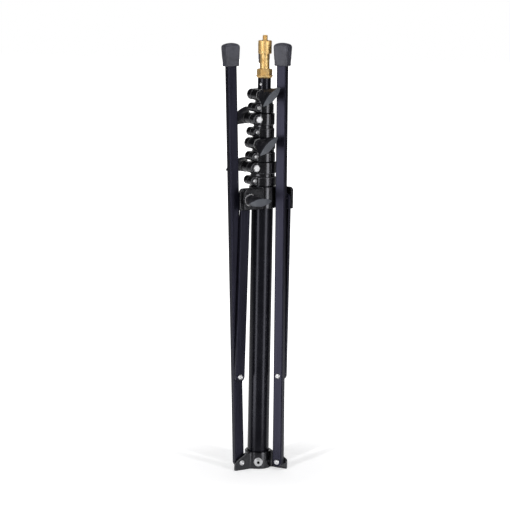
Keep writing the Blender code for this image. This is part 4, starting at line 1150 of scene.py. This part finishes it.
# %% Draw the four clamp knobs
def knob(node, body, turn, origin, angle, thread):
    """Draws a knob whose wing is turned by angle about its own axis, and marks the leaf at its end.

    On that leaf the finish paints a lighter grey, painted light: the mark starts PALM_EDGE under
    the fan's outline at this x.
    """
    half, thick = KNOB_LENGTH / 2 + 0.0002, KNOB_BASE + 0.0001
    spans = (-half, half), (-thick, thick), (0.0, KNOB_HEIGHT)
    whole = turn @ turn_about(Z, angle)
    grid = [even(*span, KNOB_STEP) for span in spans]
    obj = cast(node, "black_knob", body, knob_field(thread), grid, whole, origin)
    local = own_points(obj, whole, origin)
    rim = np.interp(np.abs(local[:, 0]), *np.array(FAN_RIM).T)
    # Marks the end leaf, where the finish paints a lighter grey as painted light.
    mark(obj, "lit_leaf", sunk(local[:, 2] - rim, -PALM_EDGE, PALM_FADE))


for i, side in enumerate(KNOB_SIDES):
    name = f"clamp_knob_{i + 1}"
    at = screw_place(i, CLAMP_HEIGHT, side * KNOB_SEAT)
    knob(name, name, LUG_SIDE_TURNS[side], at, KNOB_TURNS[i], SCREW_RADIUS + GAP)

# %% [markdown]
# ## Slider
# The slider is a split sleeve on the main tube. Each strut ends beside one of its three ears.
# The front ear has a second plate in front of it, and the bolt through both closes the split,
# so turning its knob locks the legs. Behind that plate the casting reaches a little further
# than the other ears, which shows beside the strut's top. Ears and plate are outlines given a
# thickness.

# %% Slider field
SLIDER_RADIUS = 0.0162
SLIDER_FOOT, SLIDER_TOP = SLIDER_PIVOT - 0.0125, SLIDER_PIVOT + 0.0135
SLIDER_EAR_REACH, CLAMP_EAR_REACH = 0.0350, 0.0385
SLIDER_EAR_INNER = STRUT_FACE + GAP
SLIDER_CORNER = 0.0045
PLATE_INNER, PLATE_OUTER = 0.0132, 0.0172
PLATE_START, PLATE_SETBACK, PLATE_CHAMFER, PLATE_HOLE_START = 0.0093, 0.0005, 0.0035, 0.0120
SLEEVE_EDGE, SLIDER_EAR_EDGE, PLATE_EDGE = 0.0008, 0.0005, 0.0007
SLIDER_FILLET, PLATE_FILLET = 0.0018, 0.0016
SLIDER_PLAY, SLIDER_CUT = 0.00035, 0.0005
SLIDER_STEP = 0.00044
SLIDER_HEIGHT = SLIDER_TOP - SLIDER_FOOT
corner_angles = np.radians(np.linspace(0.0, 90.0, 6))


def ear_outline(reach):
    """An ear from the sleeve out to reach, its upper corner a quarter circle."""
    return [
        (SLIDER_RADIUS / 2, 0.0), (reach, 0.0),
        *zip(
            reach - SLIDER_CORNER * (1 - np.cos(corner_angles)),
            SLIDER_HEIGHT - SLIDER_CORNER * (1 - np.sin(corner_angles)),
        ),
        (SLIDER_RADIUS / 2, SLIDER_HEIGHT),
    ]


SLIDER_EAR, CLAMP_EAR = ear_outline(SLIDER_EAR_REACH), ear_outline(CLAMP_EAR_REACH)
PLATE = [
    (PLATE_START + 0.0001, PLATE_INNER), (SLIDER_EAR_REACH, PLATE_INNER), (SLIDER_EAR_REACH, PLATE_OUTER),
    (PLATE_START, PLATE_OUTER), (PLATE_START, 0.0),
]


def slider(x, y, z):
    """Sleeve, three ears and the clamp plate, less bore, split, chamfer and screw holes."""
    radius = np.hypot(x, y)
    middle = SLIDER_PIVOT - SLIDER_FOOT
    solid = soft_walls(SLEEVE_EDGE, radius - SLIDER_RADIUS, slab(z, 0.0, SLIDER_HEIGHT))
    for turned_back in (0.0, 120.0, 240.0):
        out, along = arm_coordinates(x, y, turned_back)
        shape = outline(out, z, SLIDER_EAR if turned_back else CLAMP_EAR)
        ear = soft_walls(SLIDER_EAR_EDGE, shape, slab(along, SLIDER_EAR_INNER, SLIDER_EAR_FACE))
        hole = np.maximum(np.hypot(out - PIVOT_RADIUS, z - middle) - HOLE_RADIUS, -along)
        solid = carve(merge(solid, ear, SLIDER_FILLET), hole, HOLE_EDGE)
    layer = slab(z, PLATE_SETBACK, SLIDER_HEIGHT - PLATE_SETBACK)
    plate = soft_walls(PLATE_EDGE, outline(x, y, PLATE), layer)
    chamfer = (SLIDER_EAR_REACH + SLIDER_HEIGHT - PLATE_CHAMFER - x - z) / np.sqrt(2)
    plate = np.maximum(plate, -chamfer)
    split = np.maximum(slab(y, SLIDER_EAR_FACE, PLATE_INNER), -x)
    hole = np.hypot(x - PIVOT_RADIUS, z - middle) - HOLE_RADIUS
    solid = carve(merge(solid, plate, PLATE_FILLET), np.maximum(hole, PLATE_HOLE_START - y), HOLE_EDGE)
    solid = np.maximum(carve(solid, split, HOLE_EDGE), slab(z, 0.0, SLIDER_HEIGHT))
    return carve(solid, radius - TUBE_RADII[0] - SLIDER_PLAY, SLIDER_CUT)


# %% Draw the slider with its bolt, washer and knob
# The grid's box holds the sleeve, the ears and the plate, in the first arm's own directions.
SLIDER_BACK, SLIDER_SIDE = -0.0340, 0.0364
SLIDER_SPANS = (SLIDER_BACK, CLAMP_EAR_REACH), (-SLIDER_SIDE, SLIDER_SIDE), (0.0, SLIDER_HEIGHT)
grid = [even(*span, SLIDER_STEP) for span in SLIDER_SPANS]
cast("slider", "black_casting", "slider", slider, grid, ARMS[0], (0, 0, SLIDER_FOOT))
slider_at = ARMS[0] @ (PIVOT_RADIUS, 0, SLIDER_PIVOT)
forward = ARMS[0] @ Z_TO_Y
knob_seat = PLATE_OUTER + 2 * GAP + WASHER_THICKNESS
bolt_far, bolt_near = knob_seat + KNOB_THREAD - 2 * GAP, SLIDER_EAR_INNER
shank = [(0.0, bolt_far), (RIVET_SHANK, bolt_far), (RIVET_SHANK, bolt_near), (0.0, bolt_near)]
turned("slider_bolt", rounded(shank, SOFT_EDGE), "plated_steel", "slider", forward, slider_at, 48)
washer("slider_washer", "slider", forward, slider_at, PLATE_OUTER + GAP, HOLE_RADIUS)
knob_at = ARMS[0] @ (PIVOT_RADIUS, knob_seat, SLIDER_PIVOT)
knob("slider_knob", "slider_knob", forward, knob_at, SLIDER_KNOB_TURN, HOLE_RADIUS)

# %% [markdown]
# ## Legs and struts
# A leg is a rectangular tube with rounded corners, round at its pivot end. A strut is a
# pressed channel with round ends whose open side faces the leg. Extruded outlines would do for
# the plain lengths but leave hard rims at the holes and the ends. As distances they get soft
# ones, and since both are long and straight, their grids are fine only near the ends and the
# holes, and stride along the plain length.

# %% Legs
LEG_HALF, LEG_WALL, LEG_CORNER, LEG_LENGTH = 0.0060, 0.0010, 0.0012, 0.4970
LEG_POCKET, LEG_FLARE, POCKET_EDGE = 0.0300, 0.0015, 0.0004
LONG_STEP, LONG_MARGIN = 0.00036, 0.0006


def leg(x, y, z):
    """A rounded bar with a round lower end, less the open end and the two pivot holes.

    The opening flares below the pivot, so that its narrow walls end bluntly.
    """
    across = np.where(z > 0, np.abs(x), np.hypot(x, z)) - LEG_HALF
    bar = soft_walls(LEG_CORNER, across, np.abs(y) - LEG_SIDE, z - LEG_LENGTH)
    flare = np.maximum(-LEG_FLARE - z, 0.0)
    sides = np.abs(x) - LEG_HALF + LEG_WALL - flare
    inner = soft_walls(POCKET_EDGE, sides, np.abs(y) - LEG_SIDE + LEG_WALL, z - LEG_POCKET)
    holes = np.minimum(np.hypot(x, z), np.hypot(x, z - MID_PIVOT)) - HOLE_RADIUS
    return carve(carve(bar, inner, HOLE_EDGE), holes, HOLE_EDGE)


# Short steps at the ends, the pocket's bottom and the holes, and long ones in between.
leg_lines = ticks(
    (-LEG_HALF - LONG_MARGIN, LONG_STEP), (0.0120, LONG_STEP),
    (LEG_POCKET - 0.0010, 0.0030), (LEG_POCKET + 0.0010, LONG_STEP),
    (MID_PIVOT - 0.0040, 0.0080), (MID_PIVOT + 0.0040, LONG_STEP),
    (LEG_LENGTH - 0.0020, 0.0100), (LEG_LENGTH + LONG_MARGIN, LONG_STEP),
)
grid = even(-LEG_HALF, LEG_HALF, LONG_STEP), even(-LEG_SIDE, LEG_SIDE, LONG_STEP), leg_lines
for index in range(3):
    name = f"leg_{index + 1}"
    cast(name, "black_leg_profile", name, leg, grid, *leg_frame(index))

# %% Struts
STRUT_HALF, STRUT_WALL, STRUT_END = 0.00625, 0.0015, 0.0120
STRUT_EDGE, CHANNEL_EDGE = 0.0008, 0.0005


def strut(x, y, z):
    """A bar with round ends, less the channel towards the leg and a hole at each end."""
    beyond = z - np.clip(z, 0.0, STRUT_LENGTH)
    bar = soft_walls(STRUT_EDGE, np.hypot(x, beyond) - STRUT_HALF, slab(y, EAR_INNER, STRUT_FACE))
    channel = soft_walls(
        CHANNEL_EDGE, np.abs(x) - STRUT_HALF + STRUT_WALL, y - STRUT_FACE + STRUT_WALL,
        slab(z, STRUT_END, STRUT_LENGTH - STRUT_END),
    )
    holes = np.minimum(np.hypot(x, z), np.hypot(x, z - STRUT_LENGTH)) - HOLE_RADIUS
    return carve(carve(bar, channel, HOLE_EDGE), holes, HOLE_EDGE)


strut_lines = ticks(
    (-STRUT_HALF - LONG_MARGIN, LONG_STEP), (STRUT_END + 0.0020, LONG_STEP),
    (STRUT_LENGTH - STRUT_END - 0.0020, 0.0080), (STRUT_LENGTH + STRUT_HALF + LONG_MARGIN, LONG_STEP),
)
grid = even(-STRUT_HALF, STRUT_HALF, LONG_STEP), even(EAR_INNER, STRUT_FACE, LONG_STEP), strut_lines
for index in range(3):
    name = f"strut_{index + 1}"
    cast(name, "black_leg_profile", name, strut, grid, *strut_frame(index))

# %% [markdown]
# ## Feet
# A foot is a rubber cap pushed over the leg's end. It widens a little towards its domed crown,
# its sides are softly rounded, and its mouth has a small lip. A subdivided box could be pulled
# into this shape by hand. Here the half width is a function of height, so the cap is a rounded
# box whose walls lean, and the leg's socket is carved out of it.

# %% Rubber feet
FOOT_STEP = 0.0004
FOOT_MOUTH, FOOT_HEIGHT = LEG_LENGTH - 0.0180, 0.0270
FOOT_CROWN, FOOT_THROAT = (0.0094, 0.0069), (0.0083, 0.0060)
CROWN_START, CROWN_RISE, CROWN_EDGE = 0.0060, 0.0017, 0.0020
MOUTH_EDGE, SOCKET_EDGE, SOCKET_CUT = 0.0006, 0.0004, 0.0005
LIP_HEIGHT, LIP_PLACE, LIP_SPREAD = 0.00025, 0.0014, 0.0009


def foot(x, y, z):
    """A box whose half widths grow with height, domed on top, less the leg's socket."""
    rise = np.clip((z - FOOT_MOUTH) / (FOOT_HEIGHT - CROWN_START), 0.0, 1.0)
    wide, deep = (low + (high - low) * rise for low, high in zip(FOOT_THROAT, FOOT_CROWN))
    dome = FOOT_MOUTH + FOOT_HEIGHT - CROWN_RISE * ((x / FOOT_CROWN[0]) ** 2 + (y / FOOT_CROWN[1]) ** 2)
    cap = soft_walls(CROWN_EDGE, soft_walls(CROWN_EDGE, np.abs(x) - wide, np.abs(y) - deep), z - dome)
    lip = LIP_HEIGHT * np.exp(-(((z - FOOT_MOUTH - LIP_PLACE) / LIP_SPREAD) ** 2))
    cap = soft_walls(MOUTH_EDGE, cap - lip, FOOT_MOUTH - z)
    walls = np.abs(x) - LEG_HALF - GAP, np.abs(y) - LEG_SIDE - GAP, z - LEG_LENGTH - GAP
    return carve(cap, soft_walls(SOCKET_EDGE, *walls), SOCKET_CUT)


grid = [even(-half, half, FOOT_STEP) for half in FOOT_CROWN]
grid.append(even(FOOT_MOUTH, FOOT_MOUTH + FOOT_HEIGHT, FOOT_STEP))
for index in range(3):
    cast(f"foot_{index + 1}", "rubber_foot", f"leg_{index + 1}", foot, grid, *leg_frame(index))

# %% [markdown]
# ## Floor and light
# The stand was photographed on white. The floor takes its soft shadow near the base, and
# further out it turns plain white for the camera. Near the base the lit cloth is a little
# darker than white. The white that is mixed into it there is stronger, for the camera only, so
# that it puts no light on the stand and the shadow still shows.
#
# An opened stand stands on its feet, 0.17 m below its base casting, and its slider comes down
# by nearly the same. So the floor rides on the slider, and lies under the casting when the
# stand is folded and under the feet when it is open.

# %% Floor that is white far away and keeps the shadow near the stand
FLOOR_HALF = 7.0
SHADOW_NEAR, SHADOW_FAR, NEAR_WHITE = 0.08, 0.34, 0.30
CAMERA_WHITE = 1.50
CLOTH = (0.96, 0.96, 0.97, 1.0)
BEHIND = (0.90, 0.985)
OPEN_FRONT = (-0.10, -0.01)


def y_of(tree, vector):
    """The y of a vector."""
    parts = tree.nodes.new("ShaderNodeSeparateXYZ")
    tree.links.new(vector, parts.inputs["Vector"])
    return parts.outputs["Y"]


def rays(tree):
    """Numbers that are 1 for a camera ray, for a reflected or refracted one and for a shadow ray."""
    path = tree.nodes.new("ShaderNodeLightPath").outputs
    reflected = maths(tree, "MAXIMUM", path["Is Glossy Ray"], path["Is Transmission Ray"])
    return path["Is Camera Ray"], reflected, path["Is Shadow Ray"]


def mixed_shader(tree, factor, first, second):
    """A shader that goes from the first to the second as the factor goes from 0 to 1."""
    node = tree.nodes.new("ShaderNodeMixShader")
    for socket, source in zip(node.inputs, (factor, first, second)):
        tree.links.new(source, socket)
    return node.outputs["Shader"]


# %% The floor's material
def white_floor():
    """Diffuse cloth near the origin and plain white further out.

    The white share is far * larger(camera ray, reflected ray * behind), where far grows with
    the distance from the origin, and behind with the cosine of the angle from +y. The strength
    of the white is 1, and CAMERA_WHITE for the camera. In front of the stand reflected and
    shadow rays go through, so the low pieces mirror the whole of the soft boxes.
    """
    material = bpy.data.materials.new("studio_floor")
    material.use_nodes = True
    tree = material.node_tree
    tree.nodes.remove(tree.nodes["Principled BSDF"])
    where = tree.nodes.new("ShaderNodeTexCoord").outputs["Object"]
    length = tree.nodes.new("ShaderNodeVectorMath")
    length.operation = "LENGTH"
    tree.links.new(where, length.inputs[0])
    distance, y = length.outputs["Value"], y_of(tree, where)
    camera_ray, reflected, shadow_ray = rays(tree)
    far = levels(tree, distance, NEAR_WHITE, 1.0, SHADOW_NEAR, SHADOW_FAR)
    behind = levels(tree, maths(tree, "DIVIDE", y, distance), 0.0, 1.0, *BEHIND)
    seen = maths(tree, "MAXIMUM", camera_ray, maths(tree, "MULTIPLY", reflected, behind))
    passing = maths(tree, "MAXIMUM", reflected, shadow_ray)
    cloth = tree.nodes.new("ShaderNodeBsdfDiffuse")
    cloth.inputs["Color"].default_value = CLOTH
    white = tree.nodes.new("ShaderNodeEmission")
    tree.links.new(levels(tree, camera_ray, 1.0, CAMERA_WHITE, 0.0, 1.0), white.inputs["Strength"])
    air = tree.nodes.new("ShaderNodeBsdfTransparent").outputs["BSDF"]
    share = maths(tree, "MULTIPLY", far, seen)
    pale = mixed_shader(tree, share, cloth.outputs["BSDF"], white.outputs["Emission"])
    gap = maths(tree, "MULTIPLY", levels(tree, y, 1.0, 0.0, *OPEN_FRONT), passing)
    surface = mixed_shader(tree, gap, pale, air)
    tree.links.new(surface, tree.nodes["Material Output"].inputs["Surface"])
    return material


# %% The floor under the casting, and under the feet when the stand is open
floor_corners = [(x * FLOOR_HALF, y * FLOOR_HALF, 0) for x, y in ((-1, -1), (1, -1), (1, 1), (-1, 1))]
floor_mesh = bpy.data.meshes.new("floor")
floor_mesh.from_pydata(floor_corners, [], [(0, 1, 2, 3)])
floor_mesh.materials.append(white_floor())
floor = bpy.data.objects.new("floor", floor_mesh)
bpy.context.scene.collection.objects.link(floor)
floor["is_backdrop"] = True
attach(floor, "slider")
print("floor side in m:", 2 * FLOOR_HALF, "and it rides on the slider")

# %% [markdown]
# Black tubes are drawn by what they mirror. Two tall soft boxes stand left and right in front
# and are seen in reflections only, which gives the tubes their pair of vertical highlights.
# The light itself comes from a narrow key on each side, which lays a streak of shadow on the
# floor, and from a wide box overhead, and these three don't show in reflections. A thin strip
# overhead puts a glint on the upper edges. The room is nearly dark for everything else, and
# white straight behind the stand.

# %% Soft boxes and the studio around
AIM = np.array([0.0, 0.0, 0.27])


def soft_box(name, azimuth, distance, height, width, tall, power):
    """A rectangular lamp at an azimuth measured from the camera's side, facing the stand."""
    angle = np.radians(azimuth)
    at = np.array([np.sin(angle) * distance, -np.cos(angle) * distance, height])
    back = (at - AIM) / np.linalg.norm(at - AIM)
    right = np.cross((0.0, 0.0, 1.0), back)
    right /= np.linalg.norm(right)
    lamp = bpy.data.lights.new(name, "AREA")
    lamp.shape = "RECTANGLE"
    lamp.size, lamp.size_y, lamp.energy = width, tall, power
    obj = bpy.data.objects.new(name, lamp)
    matrix = np.eye(4)
    matrix[:3] = np.stack([right, np.cross(back, right), back, at], axis=-1)
    obj.matrix_world = Matrix(matrix.tolist())
    bpy.context.scene.collection.objects.link(obj)
    return obj


soft_box("left_box", -50.0, 1.7, 0.40, 0.90, 2.2, 24.0).visible_diffuse = False
soft_box("right_box", 43.0, 1.7, 0.40, 0.58, 2.2, 17.0).visible_diffuse = False
soft_box("left_key", -37.0, 1.7, 0.90, 0.10, 0.90, 17.0).visible_glossy = False
soft_box("right_key", 46.0, 1.7, 0.90, 0.10, 0.90, 12.0).visible_glossy = False
soft_box("top_strip", 180.0, 0.25, 1.70, 1.4, 0.14, 0.8)
soft_box("top_box", 180.0, 0.25, 1.75, 1.5, 1.5, 18.0).visible_glossy = False


ROOM_LIGHT, ROOM_SPAN = (0.12, 0.02), (-1.0, -0.3)


def studio_world():
    """White for the camera, and for reflections that look straight towards +y.

    For other rays it goes down from the first ROOM_LIGHT behind the camera to the second.
    """
    world = bpy.data.worlds.new("studio")
    bpy.context.scene.world = world
    world.use_nodes = True
    tree = world.node_tree
    background = tree.nodes["Background"].inputs
    background["Color"].default_value = (1.0, 1.0, 1.0, 1.0)
    y = y_of(tree, tree.nodes.new("ShaderNodeTexCoord").outputs["Generated"])
    camera_ray, reflected, _ = rays(tree)
    behind = maths(tree, "MULTIPLY", levels(tree, y, 0.0, 1.0, *BEHIND), reflected)
    seen = maths(tree, "MAXIMUM", camera_ray, behind)
    room = levels(tree, y, *ROOM_LIGHT, *ROOM_SPAN)
    tree.links.new(maths(tree, "MAXIMUM", room, seen), background["Strength"])


studio_world()

# %% [markdown]
# ## Camera
# A camera could be moved by eye until the frames agree. Here the widths of the tubes and the
# tilt of the rims in the photograph fix it: a long lens about 2.3 m away, looking down by
# almost ten degrees, turned two degrees around the stand. The stand leans to the right by one
# degree in the frame, which is a roll of the camera.

# %% Camera at the photograph's place
PHOTO_WIDTH, FOCAL_PIXELS, SENSOR = 510.0, 1918.0, 36.0
ORBIT, PITCH, YAW, ROLL = -2.0, 9.87, 0.194, 0.963
CAMERA_PLACE = (0.0, -2.265, 0.655)


def camera_axes():
    """Columns right, up and back: the view direction turned, tipped down, then rolled."""
    heading, down = np.radians(ORBIT + YAW), np.radians(PITCH)
    forward = np.array([-np.sin(heading) * np.cos(down), np.cos(heading) * np.cos(down), -np.sin(down)])
    right = np.cross(forward, (0.0, 0.0, 1.0))
    right /= np.linalg.norm(right)
    up = np.cross(right, forward)
    c, s = np.cos(np.radians(ROLL)), np.sin(np.radians(ROLL))
    return np.stack([right * c + up * s, up * c - right * s, -forward], axis=-1)


camera_data = bpy.data.cameras.new("photo_camera")
camera_data.sensor_width = SENSOR
camera_data.lens = SENSOR * FOCAL_PIXELS / PHOTO_WIDTH
camera = bpy.data.objects.new("photo_camera", camera_data)
pose = np.eye(4)
pose[:3, :3] = camera_axes()
pose[:3, 3] = turn_about(Z, ORBIT) @ CAMERA_PLACE
camera.matrix_world = Matrix(pose.tolist())
bpy.context.scene.collection.objects.link(camera)
bpy.context.scene.camera = camera
bpy.context.scene.view_settings.view_transform = "Standard"
print("lens in mm:", round(camera_data.lens, 1))

# %% [markdown]
# ## Sizes and the end
# The new pieces must not outgrow the solids, so both boxes are set side by side and their largest difference
# is printed.

# %% Compare both boxes
def plain(box):
    """A box as lists of plain numbers."""
    return [[float(value) for value in corner] for corner in box]


boxes = {"cad": plain(cad_box), "visual": plain(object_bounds())}
change = np.abs(np.array(boxes["cad"]) - boxes["visual"]).max()
print("largest change of a side in mm:", round(float(change) * 1000, 2))
